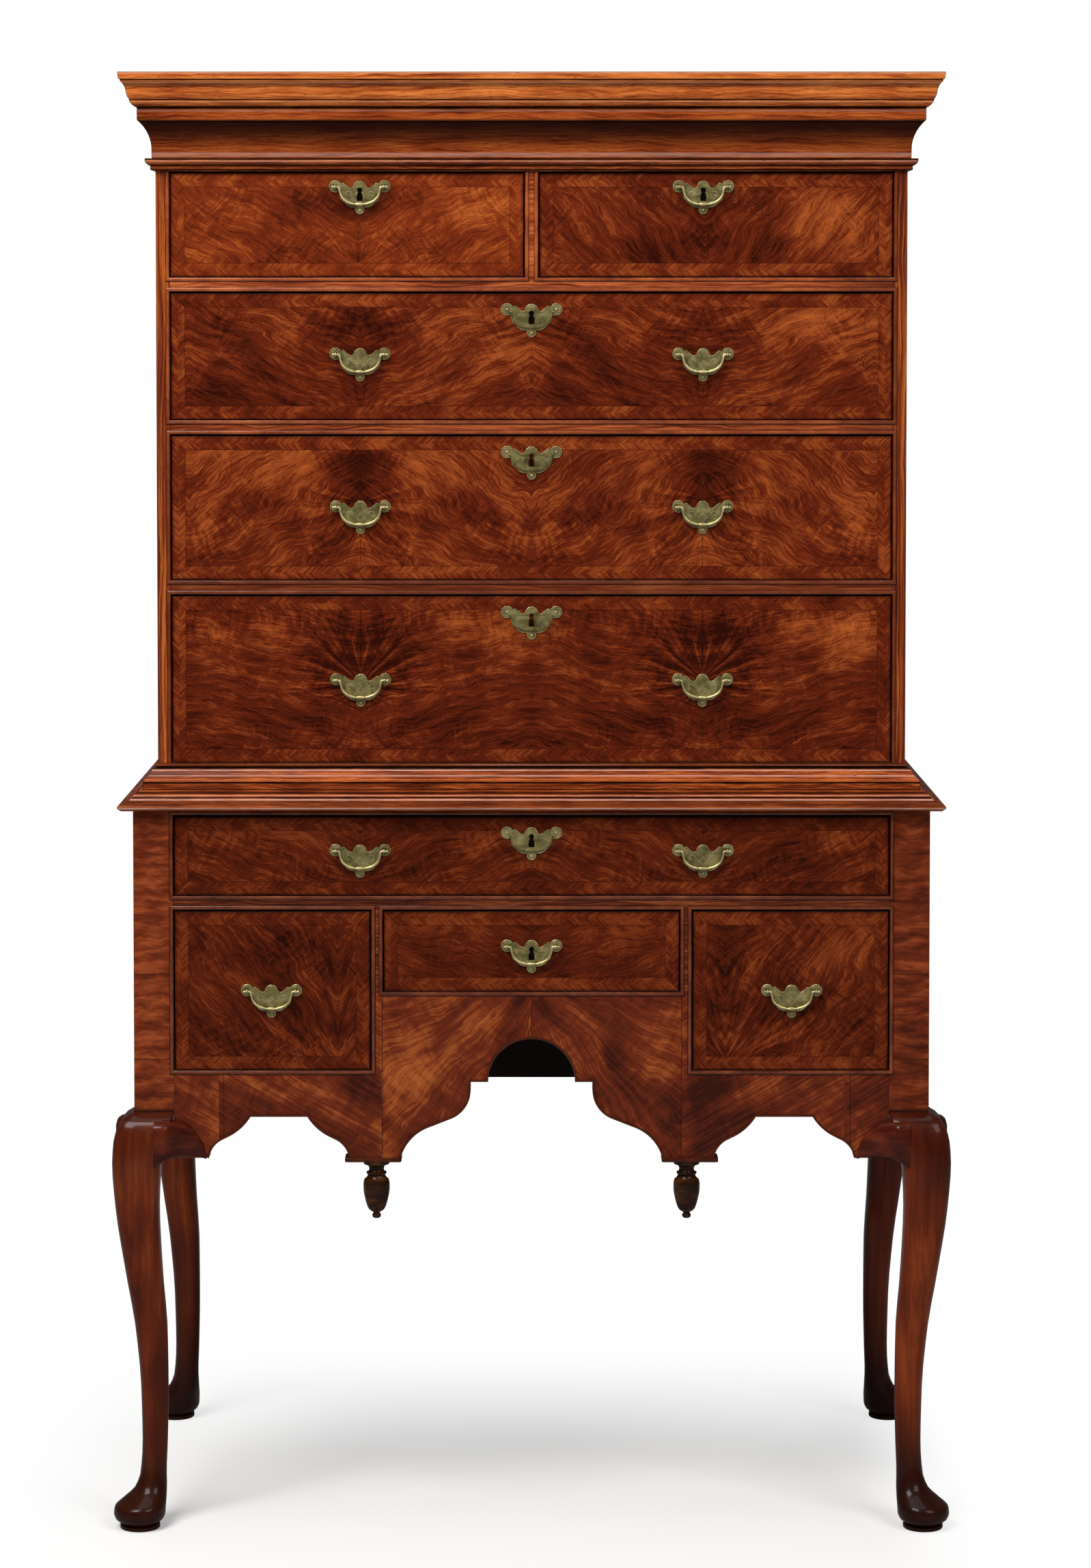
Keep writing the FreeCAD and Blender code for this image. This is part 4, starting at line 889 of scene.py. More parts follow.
def neck():
    """Fillet, ovolo and fillet above the top drawers."""
    foot = FRIEZE_Z + 1.6
    wood = moulding_wood(
        "neck_walnut", (0.060, 0.008, 0.003), (0.265, 0.050, 0.014), (0.56, 0.15, 0.035), 0.08,
        dirt_and_shade_lines=((COVE_FOOT - 0.6, 1.7, 1), (COVE_FOOT - 8.2, 1.6, 0.7), (foot + 0.2, 1.6, 1)),
        painted_glints=((COVE_FOOT - 3.6, 1, 0.55),))
    line = Line((0, COVE_FOOT), (11.7, COVE_FOOT), (11.7, COVE_FOOT - 3.5)).bow((6, COVE_FOOT - 8.8), 0.8)
    line.to((5.6, COVE_FOOT - 8.8), (5.6, foot), (0, foot))
    moulding("neck", line, 0.5, wood)


def waist():
    """The two-stage moulding between the cases."""
    foot, tip = LOWER_TOP + 3.4, LOWER_TOP + 5.4
    wood = moulding_wood(
        "waist_walnut", (0.045, 0.006, 0.002), (0.195, 0.033, 0.0080), (0.54, 0.130, 0.026), 0.07,
        dirt_and_shade_lines=((WAIST_TOP + 0.4, 1.8, 1), (WAIST_TOP - 16.4, 1.5, 1),
                (WAIST_STEP - 2.9, 1.5, 0.85), (WAIST_STEP - 7.8, 1.2, 0.95)),
        painted_glints=((WAIST_TOP - 2.6, 1, 0.9), (WAIST_TOP - 8.8, 1.1, 0.6),
                (WAIST_STEP - 5.4, 0.7, 0.45), (WAIST_STEP - 10.3, 1, 0.8), (foot, 1.5, 0.9)),
        shade=(LOWER_TOP + 3, LOWER_TOP + 8, WAIST_STEP - 11, 0.45))
    line = Line((0, WAIST_TOP), (6.3, WAIST_TOP)).bow((15.3, WAIST_TOP - 12.8), -1.3)
    line.to((16.7, WAIST_TOP - 15.7), (16.7, WAIST_STEP)).bow((28.1, WAIST_STEP - 5.8), 1)
    line.to((28.9, WAIST_STEP - 8)).bow((42.1, tip + 2.1), -1.1).bow((45.1, tip), 0.6)
    line.to((45.1, foot), (40.6, LOWER_TOP), (0, LOWER_TOP))
    moulding("waist", line, 0.6, wood)


# Edge marks across a half-round bead: its nose gets wear and painted highlight, and where it meets the case
# dirt and painted shade.
BEAD_MARKS = [-1, -0.8, 0, 0.4, 1, 0.4, 0, -0.8, -1]


def half_round(rise):
    """A bead's section as (across, up)."""
    turns = [pi * step / 8 for step in range(9)]
    return [(BEAD / 2 * (1 - cos(turn)), rise * sin(turn)) for turn in turns]


def bead_frame(shape, opening, face, sides, slot):
    """Beads on some sides of an opening, mitred where two meet."""
    x0, x1, z0, z1 = opening
    foot, head = "bottom" in sides, "top" in sides
    # For both ends of a side: the corner, and which way the bead's width runs from it.
    ends = {"bottom": ((x0, -1, z0, -1), (x1, 1, z0, -1)), "top": ((x0, -1, z1, 1), (x1, 1, z1, 1)),
            "left": ((x0, -1, z0, -foot), (x0, -1, z1, head)),
            "right": ((x1, 1, z0, -foot), (x1, 1, z1, head))}
    for side in sides:
        rows = [[(x + out * w, face - h, z + up * w) for w, h in half_round(BEAD_RISE)]
                for x, out, z, up in ends[side]]
        shape.rows(rows, BEAD_MARKS, slot=slot)


def beads():
    shape = Shape()
    for _, opening, face, sides, _, _ in DRAWERS:
        bead_frame(shape, opening, face, sides, 0 if face == UPPER_FRONT else 1)
    swept(shape, [(h, UPPER_SILL - w) for w, h in half_round(BASE_BEAD_RISE)], BEAD_MARKS)
    woods = [
        bead_wood("bead_walnut", (0.080, 0.011, 0.003), (0.19, 0.032, 0.008), (0.36, 0.085, 0.020)),
        bead_wood("lower_bead_walnut", (0.030, 0.004, 0.0015), (0.085, 0.013, 0.0035), (0.20, 0.045, 0.012))]
    shape.object("beads", woods, ["bead_mouldings"], 60)


# ---- Legs, brackets and finials ----
# Height, then how far out and in the leg stands from the case's corner, and the roundness of its section.
LEG_SECTIONS = (
    (505, 0, -48.2, 24), (500, 11, -47, 10), (490, 18.8, -44, 6),
    (471.5, 24.5, -38, 4.2), (445, 26.3, -32.5, 3.6), (391, 22.7, -29.6, 3.2),
    (311, 11.8, -32.6, 2.7), (238, 0.9, -37.4, 2.3), (166, -4.9, -38.1, 2),
    (100, -6.2, -36.8, 2), (64, -3.9, -35.5, 2), (45.6, 2.7, -36, 2),
    (34.7, 15.4, -36, 2), (25.6, 26, -35.6, 2), (18, 27, -35.2, 2),
    (11, 24.3, -32.4, 2), (5.6, 17.2, -26.4, 2), (5, 19.4, -28.6, 2), (0, 19.4, -28.6, 2),
)
DISC = 5                       # height of the disc under the pad foot
LEG_HEIGHTS = (0, 0.8, 4.2, DISC, 5.6, 7, 9, 11, 13.5, 16, 18.5, 21, 24, 27, 30, 33, 36,
               40, 45, 52, 60, 72, 86, 102, 122, 146, 170, 195, 220, 245, 270,
               295, 320, 345, 370, 392, 412, 430, 446, 460, 472, 481, 488, 493,
               497, 500, 502.5, 504.2, KNEE_TOP)


def leg_ring(z, outer, inner, exponent, sx, sy):
    """A level section, from round at exponent 2 to square at a high one."""
    half, middle = (outer - inner) / 2, (outer + inner) / 2
    ring = []
    for c, s in around(40):
        reach = half / (abs(c) ** exponent + abs(s) ** exponent) ** (1 / exponent)
        ring.append((sx * (LOWER_HALF + middle + reach * c), sy * (-LOWER_FRONT + middle + reach * s), z))
    return ring


def legs():
    wood = leg_wood("leg_walnut")
    for name, sx, sy in (("front_left", -1, -1), ("front_right", 1, -1), ("back_left", -1, 1),
                         ("back_right", 1, 1)):
        rows = []
        for z in LEG_HEIGHTS:
            outer, inner, exponent = smooth_between(LEG_SECTIONS, z)
            if z <= DISC:
                # The disc is plain, with its two edges eased.
                ease = 0.8 if z in (0, DISC) else 0
                outer, inner, exponent = 19.4 - ease, -28.6 + ease, 2
            rows.append(leg_ring(z, outer, inner, exponent, sx, sy))
        for z in (KNEE_TOP + 1, *reversed(POST_JOINTS), LOWER_TOP):
            rows.append(leg_ring(z, 0, -POST, 60, sx, sy))
        shape = Shape()
        shape.rows(rows)
        shape.object("leg_" + name + "_turned", [wood], ["leg_" + name], 32)


# The rounded front of a knee bracket: share of its height down from the top, and of how far it stands out.
BRACKET_FACE = ((0, 0.25), (0.02, 0.55), (0.06, 0.8), (0.12, 0.94), (0.22, 1), (0.45, 1), (0.7, 1),
                (0.86, 0.97), (0.94, 0.88), (0.98, 0.74), (1, 0.5))


def bracket(shape, place, tip, root, steps=16):
    """The carved wing beside a knee; place turns (across, proud, height) into a point."""
    top = Line((tip, SKIRT - 1)).bow((root - 16, SKIRT + 47), 13, steps).to((root, SKIRT + 48)).points
    foot = Line((tip, SKIRT - 1)).bow((tip + 46, SKIRT), 3.5, steps).bow((root, SKIRT - 14), 1.5).points
    plan = Line((tip, 3)).bow((tip + 48, 24.5), -4, steps).to((root, 24.5)).points

    def at(line, across):
        for a, b in zip(line, line[1:]):
            if across <= b[0] or b is line[-1]:
                return a[1] + (b[1] - a[1]) * (across - a[0]) / max(1e-6, b[0] - a[0])

    rows = []
    for step in range(steps + 5):
        across = tip + (root - tip) * (step / (steps + 4)) ** 1.15
        low, proud = at(foot, across), at(plan, across)
        high = max(at(top, across), low + 0.4)
        face = [(across, proud * out, high - (high - low) * share) for share, out in BRACKET_FACE]
        rows.append([place(*point) for point in [(across, 0, high)] + face + [(across, 0, low)]])
    # The top of the face is marked for wear and painted highlight; its wood leaves the hollow marks
    # unpainted.
    shape.rows(rows, [-0.8, 0, 0, 0.3] + [0] * 8 + [-0.5])


def brackets():
    shape = Shape()
    tip, root = LOWER_HALF - 86.5, LOWER_HALF - 25
    gap = LOWER_HALF + LOWER_FRONT
    for sx in (-1, 1):
        bracket(shape, lambda a, p, z: (sx * a, LOWER_FRONT - p, z), tip, root)
        for sy in (-1, 1):
            bracket(shape, lambda a, p, z: (sx * (LOWER_HALF + p), sy * (a - gap), z), tip, root)
    wood = dark_walnut("bracket_walnut", (0.016, 0.0025, 0.0015), (0.055, 0.007, 0.003), (0.13, 0.020, 0.006))
    shape.object("knee_wings", [wood], ["knee_brackets"], 40)


def finials():
    """Two turned drops under the platforms, drawn as (depth, radius)."""
    turning = Line((0, 15.5), (4.2, 15.5), (4.5, 15.1)).bow((11, 9), -2, 8)
    turning.bow((14.4, 12.1), -0.9, 5).bow((17.2, 10.4), 0.7, 4).bow((23, 14.6), -0.8, 6)
    turning.bow((31.5, 15.8), 0.5, 6).bow((45, 14.2), 0.5, 8).bow((56.4, 11), 0.3, 6)
    turning.bow((62.6, 4.9), 1, 6).bow((64.6, 3.8), -0.3, 3).bow((67.5, 5.2), 0.7, 4).bow((70.3, 1.6), 1.1, 5)
    shape = Shape()
    for x in (-FINIAL_X, FINIAL_X):
        shape.rows([[(x + radius * c, LOWER_FRONT + 12 + radius * s, SKIRT - PLATFORM - depth)
                     for c, s in around(32)] for depth, radius in turning.points])
    wood = dark_walnut("finial_walnut", (0.006, 0.002, 0.001), (0.022, 0.0065, 0.002), (0.105, 0.036, 0.007))
    shape.object("turned_drops", [wood], ["drop_finials"], 30)


# ---- Apron ----
def scallop_line(start, end):
    line = Line((start, SKIRT)).bow((start + 15, SKIRT + 21.5), 3.1).to((start + 25, SKIRT + 26.4))
    line.bow((start + 50, SKIRT + 49.8), -2.3).to((end - 50, SKIRT + 49.8))
    line.bow((end - 25, SKIRT + 26.4), -2.3).to((end - 15, SKIRT + 21.5)).bow((end, SKIRT), 3.1)
    return cleaned(line.points)


def arch_line():
    """An ogee, a step, the half-round arch, and the same back."""
    spring, low, high = 542, SKIRT + 48, SKIRT + 84
    line = Line((-157, SKIRT)).bow((-121, SKIRT + 37.8), 6.6, 10).to((-95, low)).bow((-73, high), -6.5, 10)
    line.to((-73, spring), (-52, spring)).bow((52, spring), 52, 28).to((73, spring), (73, high))
    line.bow((95, low), -6.5, 10).to((121, SKIRT + 37.8)).bow((157, SKIRT), 6.6, 10)
    return cleaned(line.points)


def apron_board(shape, edges):
    """The board, with its lower edge behind the cock beads."""
    outline = [(-POST_IN, DEEP_SILL), (-POST_IN, SKIRT), (-SCALLOP_OUT, SKIRT)]
    for points in edges:
        inner = offset(points, COCK_BEAD)
        outline += [(inner[0][0], SKIRT)] + inner + [(inner[-1][0], SKIRT)]
    outline += [(SCALLOP_OUT, SKIRT), (POST_IN, SKIRT), (POST_IN, DEEP_SILL), (DEEP_IN, DEEP_SILL),
                (DEEP_IN, CENTER_SILL), (-DEEP_IN, CENTER_SILL), (-DEEP_IN, DEEP_SILL)]
    outline = cleaned(outline)
    faces = LOWER_FRONT, LOWER_FRONT + APRON_BOARD
    for y in faces:
        shape.sheet([outline], lambda x, z: (x, y, z))
    shape.rows([[(x, y, z) for x, z in outline] for y in faces], capped=False)


def cock_bead(shape, points):
    """A thin bead with a rounded nose along one edge of the apron."""
    nose = ((0, APRON_BOARD), (0, -1), (0.35, -1.7), (1.25, -COCK_PROUD), (2.15, -1.7), (2.5, -1),
            (2.5, APRON_BOARD))
    lines = [offset(points, width) if width else points for width, _ in nose]
    rows = [[(x, LOWER_FRONT + back, z) for (x, z), (_, back) in zip(column, nose)] for column in zip(*lines)]
    # The nose is marked for wear and painted highlight.
    shape.rows(rows, [0, 0, 0.4, 1, 0.4, 0, 0], slot=1)


def platform(shape, sx):
    """The thin plate over a drop finial, with softened edges."""
    x0, x1, y0, y1 = PLATFORM_IN, PLATFORM_OUT, LOWER_FRONT - 4, LOWER_FRONT + 28
    cx, cy = (x0 + x1) / 2, (y0 + y1) / 2
    ring = softened([(x0, y0), (x1, y0), (x1, y1), (x0, y1)], 3, 4)
    rows = []
    for depth, shrink in ((0, 0.6), (0.6, 0.1), (2.3, 0), (4, 0.1), (PLATFORM, 0.8)):
        fx, fy = 1 - shrink / (x1 - x0) * 2, 1 - shrink / (y1 - y0) * 2
        rows.append([(sx * (cx + (x - cx) * fx), cy + (y - cy) * fy, SKIRT - depth) for (x, y), _ in ring])
    shape.rows(rows, 0.2, slot=1)


def apron():
    shape = Shape()
    edges = [scallop_line(-SCALLOP_OUT, -SCALLOP_IN), arch_line(), scallop_line(SCALLOP_IN, SCALLOP_OUT)]
    apron_board(shape, edges)
    for points in edges:
        cock_bead(shape, points)
    for sx in (-1, 1):
        platform(shape, sx)
    woods = [
        apron_veneer("apron_veneer", (0.035, 0.005, 0.002), (0.142, 0.0205, 0.0055), (0.42, 0.105, 0.022)),
        dark_walnut("edge_walnut", (0.012, 0.003, 0.0015), (0.035, 0.0065, 0.0025), (0.085, 0.017, 0.006))]
    shape.object("shaped_apron", woods, ["front_apron"], 40)


# ---- Brasses ----
def arc(cx, cz, radius, start, end, count):
    angles = [radians(start + (end - start) * step / count) for step in range(count + 1)]
    return [(cx + radius * cos(angle), cz + radius * sin(angle)) for angle in angles]


def plate_outline(inset=0):
    """The bat-wing outline, clockwise from the crest's top, drawn inset from its edge."""
    # Each corner is (u, w), and how far it moves right and up for an inset of 1.
    shoulder = ((9.6, 11.6, 0, -0.5), (10.95, 10.9, 0, -1), (13.2, 11.9, 0, -1), (16.3, 14.6, 0, -1),
                (19.3, 17.3, 0, -1))
    flank = ((24.2, 2.2, -1, 0), (23.4, -0.6, -1, 0), (22, -3.6, -0.8, 0), (18.4, -6.6, -0.7, 0.6),
             (15.2, -9.9, -0.5, 0.7), (11, -12, -0.3, 0.9), (7.2, -12.3, -0.3, 1))
    moved = [[(u + right * inset, w + up * inset) for u, w, right, up in run] for run in (shoulder, flank)]
    half = arc(0, 11.9, 7.75 - inset, 90, 6, 8) + moved[0] + arc(EAR_X, EAR_Z, 7.4 - inset, 152, -120, 16)
    half += moved[1] + arc(0, -14.8, 5.5 - inset, 22, -90, 8)
    return half + [(-u, w) for u, w in reversed(half[1:-1])]


def keyhole_loop(grow=0):
    """A round head over a slot that flares to its foot."""
    slot = [(3.3 + grow, -4.6 - grow), (3.5 + grow, 0.5), (2.9 + grow, 3.4), (1.9 + grow, 5.2)]
    return slot + arc(0, 8.2, 3 + grow, -50, 230, 14) + [(-u, w) for u, w in reversed(slot)]


def eye_loop(sign, grow=0):
    """The slot through which a cotter pin passes."""
    cx, hx, hz = sign * EYE_X, 1.2 + grow, 2.88 + grow
    return [(cx - hx, PIN_Z - hz), (cx + hx, PIN_Z - hz), (cx + hx, PIN_Z + hz), (cx - hx, PIN_Z + hz)]


def plate(shape, x, z, face, keyhole, eyes):
    """A pierced plate with a filed rim and an engraved line inside it."""
    def at(out):
        return lambda u, w: (x + u, face - out, z + w)

    def ring(points, out):
        return [at(out)(*point) for point in points]

    def holes(key_grow, eye_grow):
        loops = [keyhole_loop(key_grow)] if keyhole else []
        return loops + ([eye_loop(-1, eye_grow), eye_loop(1, eye_grow)] if eyes else [])

    shape.centre = (x, z)
    outline, inset = plate_outline(), plate_outline(0.45)
    back_holes, front_holes = holes(0, 0), holes(0.3, 0.2)
    shape.sheet([outline] + back_holes, at(0))
    # The outer edge and the walls of the holes are marked for painted shade; the filed rim for wear and
    # painted highlight.
    shape.rows([ring(outline, 0), ring(outline, 0.7)], -0.5, capped=False)
    shape.rows([ring(outline, 0.7), ring(inset, PLATE)], 1, capped=False)
    # The engraved line is a shallow groove: inset, height and edge mark of each of its edges; its dark bottom
    # is dirt and painted shade.
    groove = ((0.45, PLATE, 0.5), (1.25, PLATE, 0), (1.55, PLATE - 0.25, -1), (1.85, PLATE, 0))
    for edges in zip(groove, groove[1:]):
        start, end = (shape.add(ring(plate_outline(inward), out), mark) for inward, out, mark in edges)
        for step in range(len(start)):
            shape.face((start[step - 1], start[step], end[step], end[step - 1]))
    shape.sheet([plate_outline(groove[-1][0])] + front_holes, at(PLATE))
    for wide, narrow in zip(front_holes, back_holes):
        shape.rows([ring(wide, PLATE), ring(narrow, PLATE - 0.3), ring(narrow, 0)], -0.6, capped=False)
    shape.centre = None


def nail(shape, x, z, face):
    """The low domed head of a brass nail."""
    radius, rise = 1.5, 0.7
    rows = []
    for share in (0, 0.35, 0.7, 0.93):
        r = radius * sqrt(1 - share ** 2)
        rows.append([(x + r * c, face - rise * share, z + r * s) for c, s in around(12)])
    shape.rows(rows, 0.3)


def tube(shape, path, sides, place, edge_mark):
    """A bar along path, of (p, w, half thickness in the plane, half width); place takes (p, width, w)."""
    rows = []
    for index, (p, w, thick, wide) in enumerate(path):
        before, after = path[max(0, index - 1)], path[min(len(path) - 1, index + 1)]
        dp, dw = after[0] - before[0], after[1] - before[1]
        size = hypot(dp, dw) / thick
        rows.append([place(p - dw / size * c, wide * s, w + dp / size * c) for c, s in around(sides)])
    shape.rows(rows, edge_mark)


def cotter(shape, x, z, face):
    """The bent pin's eye round the bail's pin, and its clinched ends behind the front."""
    hinge, back = face - PLATE - PIN_OUT, face + FRONT_BOARD + 0.6
    half = EYE_WIRE / 2
    reach = PIN_R + 0.08 + half
    eye = [(hinge + reach * cos(a), reach * sin(a)) for a in (radians(270 - step * 15) for step in range(13))]
    path = [(back, -reach - 5), (back, -reach), (face, -reach)] + eye
    path += [(face, reach), (back, reach), (back, reach + 5)]
    path = [(y, w, half, EYE_WIDTH / 2) for y, w in path]
    tube(shape, path, 8, lambda y, across, w: (x + across, y, z + w), 0.3)


def lock(shape, x, z, inside):
    """The iron lock behind a front, seen when the drawer is open."""
    foot = z - 13
    rows = []
    for deep, shrink in ((0, 0), (9, 0), (10, 1)):
        x0, x1, z0, z1 = x - 23 + shrink, x + 23 - shrink, foot + shrink, foot + 34 - shrink
        rows.append([(px, inside + deep, pz) for (px, pz), _ in
                     softened([(x0, z0), (x1, z0), (x1, z1), (x0, z1)], 1, 2)])
    shape.rows(rows)


def bail(shape, x, z, face):
    """A cast bail: pins, swellings, a collar at the bottom."""
    hinge = face - PLATE - PIN_OUT
    # Half of it from the pin's end down to the collar: place and half thickness.
    half = [(PIN_END, 0, PIN_R), (PIN_END - 1, 0, PIN_R), (26.5, 0, PIN_R), (24.9, -0.25, 1.5)]
    for angle, thick in ((8, 1.3), (22, 1.2), (34, 1.45), (46, 1.5), (58, 1.65), (67, 1.9), (75, 1.6),
                         (80, 1.05), (82.5, 1), (84.5, 1.75), (87.5, 2.05), (90, 2.1)):
        turn = radians(angle)
        half.append((BAIL_HALF * cos(turn) ** 0.8, -BAIL_DROP * sin(turn) ** 0.8, thick))
    path = half + [(-u, w, thick) for u, w, thick in reversed(half[:-1])]
    tube(shape, [(u, w, thick, min(thick, 1.9) * 0.92) for u, w, thick in path], 14,
         lambda u, across, w: (x + u, hinge + across, z + PIN_Z + w), 0.35)


def brasses():
    old = brass("old_brass", (0.095, 0.076, 0.026), (0.26, 0.215, 0.080), (0.50, 0.43, 0.19))
    rubbed = brass("rubbed_brass", (0.19, 0.150, 0.055), (0.42, 0.355, 0.150), (0.68, 0.59, 0.30))
    for name, _, face, _, handles, keyholes in DRAWERS:
        shape = Shape()
        for x, z in handles:
            plate(shape, x, z, face, (x, z) in keyholes, True)
            nail(shape, x, z - TAB_NAIL, face - PLATE)
            for sign in (-1, 1):
                cotter(shape, x + sign * EYE_X, z + PIN_Z, face)
        for x, z in keyholes:
            if (x, z) not in handles:
                plate(shape, x, z, face, True, False)
                nail(shape, x, z - TAB_NAIL, face - PLATE)
                for sign in (-1, 1):
                    nail(shape, x + sign * EAR_X, z + EAR_Z, face - PLATE)
            lock(shape, x, z, face + FRONT_BOARD)
        shape.object(name + "_plates", [old], [name + "_brasses"], 30, name)
        for index, (x, z) in enumerate(handles):
            node = name + ("_bail" if len(handles) == 1 else ("_left_bail", "_right_bail")[index])
            handle = Shape()
            bail(handle, x, z, face)
            handle.object(node + "_cast", [rubbed], [node], 50, body_of(NODES[node])[0])


# ---- CAD nodes that stay ----
def dress(node, material):
    """Gives a node of the frame its material and small soft arrises."""
    piece = NODES[node]
    piece.data.materials.clear()
    piece.data.materials.append(material)
    weld = piece.modifiers.new("weld", "WELD")
    weld.merge_threshold = 1e-6
    bevel = piece.modifiers.new("arris", "BEVEL")
    bevel.width = 0.0007
    bevel.segments = 2
    bevel.limit_method = "ANGLE"
    bevel.angle_limit = radians(40)


RED = ((0.026, 0.003, 0.001), (0.122, 0.0155, 0.0040), (0.42, 0.096, 0.019))
AMBER = ((0.050, 0.006, 0.002), (0.180, 0.0255, 0.0055), (0.50, 0.125, 0.022))
PLUM = ((0.020, 0.0025, 0.001), (0.096, 0.0125, 0.0030), (0.30, 0.062, 0.013))
WIDE_SEAMS = (-HANDLE_X, 0, HANDLE_X)


def looks(tones, seams, point, spread, sunburst, slant, tint, band, patches, **more):
    """The veneer of one front.

    point is where the figure bursts, spread the reach of its rays and sunburst their strength; slant is
    the lean of the ripples; tint and band lighten the leaves and the band; patches are (x, z, half
    width, half height, change of tone); more can give bruises (x, z, size), hole, the strength
    of the painted shade behind the keyholes, and way -1 for a figure that hangs down.
    """
    return dict(tones=tones, seams=seams, point=point, spread=spread, sunburst=sunburst, slant=slant,
                tint=tint, band=band, patches=patches, **more)


LOOKS = {
    "top_left_drawer": looks(
        AMBER, (-207,), (0, 1500), 90, 0.10, 0.6, 0.04, 0.10,
        ((-240, 1585, 70, 30, -0.16), (-270, 1527, 80, 18, -0.14), (-65, 1590, 75, 40, 0.20))),
    "top_right_drawer": looks(
        RED, (207,), (0, 1500), 90, 0.12, 0.75, 0, 0.12,
        ((55, 1575, 40, 50, 0.08), (160, 1530, 70, 32, -0.12), (370, 1572, 62, 46, 0.34)),
        bruises=((262, 1590, 20), (208, 1560, 10), (283, 1545, 16), (150, 1598, 12))),
    "second_drawer": looks(
        RED, WIDE_SEAMS, (0, 1330), 110, 0.12, 0.45, 0.05, 0.12,
        ((-355, 1375, 105, 50, -0.18), (-204, 1450, 50, 32, -0.14), (-40, 1440, 70, 60, 0.20),
         (-135, 1363, 50, 24, 0.14), (88, 1385, 100, 55, -0.16), (365, 1450, 85, 34, 0.34),
         (265, 1360, 60, 18, 0.12)),
        bruises=((402, 1402, 14), (395, 1360, 8))),
    "third_drawer": looks(
        RED, WIDE_SEAMS, (0, 1238), 95, 0.30, 0.6, 0.09, 0.15,
        ((-204, 1285, 48, 52, -0.34), (-335, 1290, 105, 40, 0.20), (-80, 1280, 80, 34, 0.16),
         (-235, 1183, 70, 24, -0.14), (214, 1285, 48, 52, -0.30), (0, 1212, 120, 16, -0.14),
         (355, 1250, 95, 65, 0.08)),
        way=-1, hole=0.7),
    "fourth_drawer": looks(
        RED, WIDE_SEAMS, (0, 1016), 110, 0.44, 0.25, 0.02, 0.10,
        ((-204, 1067, 60, 18, -0.26), (-330, 1075, 80, 36, 0.16), (-40, 1095, 90, 40, 0.30),
         (-165, 990, 24, 24, 0.14), (213, 1067, 55, 20, -0.28), (370, 1080, 75, 38, 0.36),
         (222, 985, 28, 42, -0.14), (0, 960, 420, 26, -0.08)),
        hole=0.7),
    "lower_long_drawer": looks(
        PLUM, WIDE_SEAMS, (0, 775), 70, 0.18, 0.4, 0.03, 0.10,
        ((-285, 846, 80, 20, 0.16), (-130, 815, 45, 45, -0.12), (-70, 830, 26, 30, 0.14),
         (300, 812, 55, 40, -0.16), (362, 845, 34, 22, 0.18))),
    "lower_left_drawer": looks(
        PLUM, (), (-232, 560), 170, 0.26, 0.9, 0.07, 0.15,
        ((-310, 712, 110, 28, -0.12), (-242, 690, 40, 50, -0.14))),
    "lower_center_drawer": looks(
        PLUM, (0,), (0, 640), 90, 0.14, 0.3, 0.05, 0.18,
        ((20, 736, 85, 16, -0.12), (115, 712, 32, 26, 0.14))),
    "lower_right_drawer": looks(
        PLUM, (), (232, 560), 170, 0.26, 0.9, 0.07, 0.14,
        ((240, 720, 50, 34, -0.14), (205, 590, 32, 55, -0.16), (375, 715, 52, 36, 0.16),
         (300, 592, 65, 24, 0.10))),
}


def dress_nodes():
    level, deep = pine("pine_level", True), pine("pine_deep", False)
    woods = {
        "upper_top_board": level, "upper_bottom_board": level, "back_boards": level, "drawer_runners": deep,
        "upper_side_boards": case_wood(
            "side_walnut", True, (0.045, 0.007, 0.003), (0.185, 0.031, 0.008), (0.55, 0.145, 0.022)),
        "upper_rails": case_wood(
            "rail_walnut", False, (0.050, 0.007, 0.0025), (0.285, 0.052, 0.014), (0.56, 0.155, 0.045)),
        "lower_side_boards": case_wood(
            "lower_side_walnut", True, (0.045, 0.008, 0.003), (0.135, 0.023, 0.007), (0.30, 0.078, 0.022)),
        "lower_rails_and_partitions": case_wood(
            "lower_rail_walnut", False, (0.025, 0.004, 0.002), (0.110, 0.019, 0.006), (0.28, 0.072, 0.022)),
    }
    for index, drawer in enumerate(DRAWERS):
        name = drawer[0]
        woods[name + "_front"] = veneered_front(drawer, LOOKS[name], index * 3.7)
        woods[name + "_box"] = deep
    for node, wood in woods.items():
        dress(node, wood)


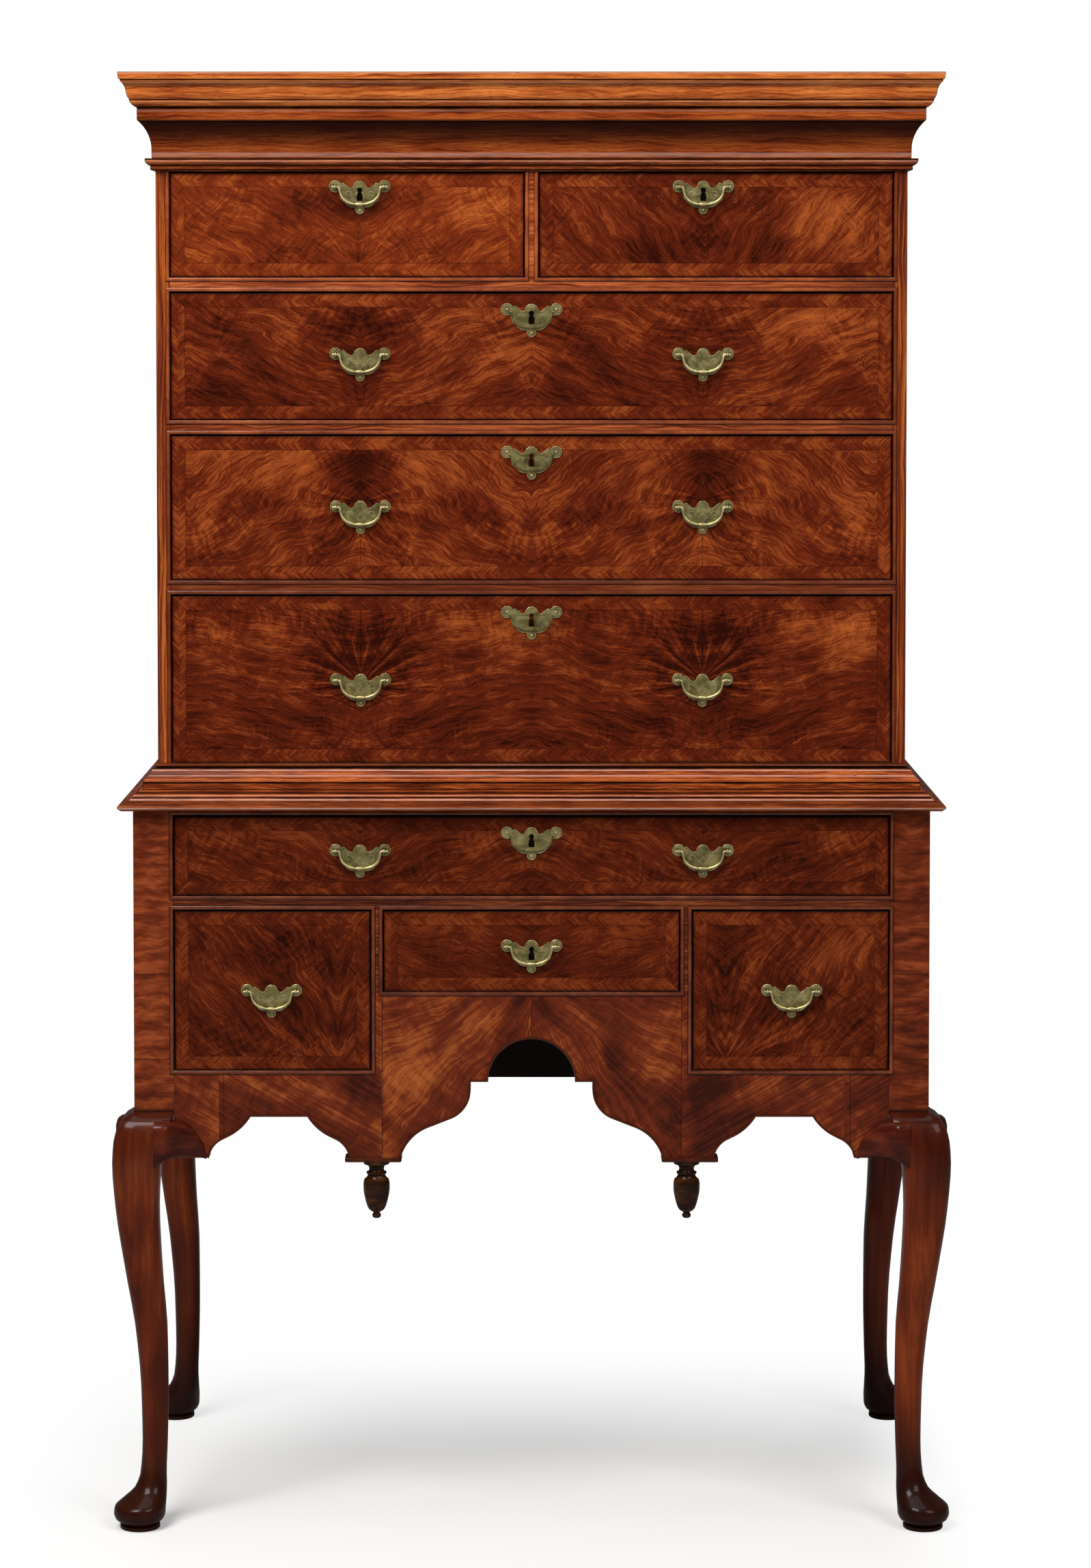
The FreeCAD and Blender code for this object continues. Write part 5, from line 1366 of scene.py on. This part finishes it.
# ---- Stage ----
def stage():
    """A white sheet that keeps the chest's shadow."""
    floor_piece = new_object("floor", ((-9000, -7000, 0), (9000, -7000, 0), (9000, 9000, 0),
                                       (-9000, 9000, 0)), [(0, 1, 2, 3)])
    m = Material("paper")
    # The shadow stays under the chest and the sheet is white beyond it.
    keep = m.y.fall(-260, 640, 0.80) * m.x.fall(400, 560) * m.x.rise(-680, -430)
    camera_ray, seen = m.seen()
    sheet = m.made("ShaderNodeBsdfDiffuse", m.mix(camera_ray, (0.45, 0.45, 0.45), (0.88, 0.88, 0.88)))
    glow = m.made("ShaderNodeEmission", (1, 1, 1))
    m.node("ShaderNodeOutputMaterial", m.made("ShaderNodeMixShader", seen * (1 - keep), sheet, glow))
    floor_piece.data.materials.append(m.data)


def world():
    """Dim light all round, and white where the camera looks past the chest."""
    scene = bpy.context.scene
    scene.world = bpy.data.worlds.new("studio")
    tree = Tree(scene.world)
    dim_light = tree.made("ShaderNodeBackground", (1, 0.98, 0.96), 0.13)
    white = tree.made("ShaderNodeBackground", (1, 1, 1), 1)
    _, seen = tree.seen()
    tree.node("ShaderNodeOutputWorld", tree.made("ShaderNodeMixShader", seen, dim_light, white))
    scene.view_settings.view_transform = "Standard"


def lamp(name, place, aim, size, power, colour=(1, 1, 1)):
    """A square lamp at place that looks toward aim, both in metres."""
    data = bpy.data.lights.new(name, "AREA")
    data.shape = "RECTANGLE"
    data.size = data.size_y = size
    data.energy = power
    data.color = colour
    light = bpy.data.objects.new(name, data)
    bpy.context.scene.collection.objects.link(light)
    light.location = place
    light.rotation_euler = (Vector(aim) - Vector(place)).to_track_quat("-Z", "Y").to_euler()


def camera():
    data = bpy.data.cameras.new("camera")
    data.lens = 91.6
    data.sensor_width = 36
    data.shift_x, data.shift_y = 0.0089, -0.17
    view = bpy.data.objects.new("camera", data)
    bpy.context.scene.collection.objects.link(view)
    view.location = (0, -4.997, 1.45)
    view.rotation_euler = (pi / 2 - 0.04845, 0, 0)
    bpy.context.scene.camera = view


crown()
cove()
neck()
waist()
beads()
legs()
brackets()
finials()
apron()
brasses()
dress_nodes()
stage()
world()
lamp("key", (-1.7, -2.5, 4.3), (0, 0, 0.9), 2, 215, (1, 0.985, 0.96))
lamp("fill", (2.4, -3, 3.6), (0, 0, 0.8), 2, 78)
lamp("over", (0, 0.2, 3.8), (0, 0, 0), 2.4, 40)
camera()

bpy.context.view_layer.update()
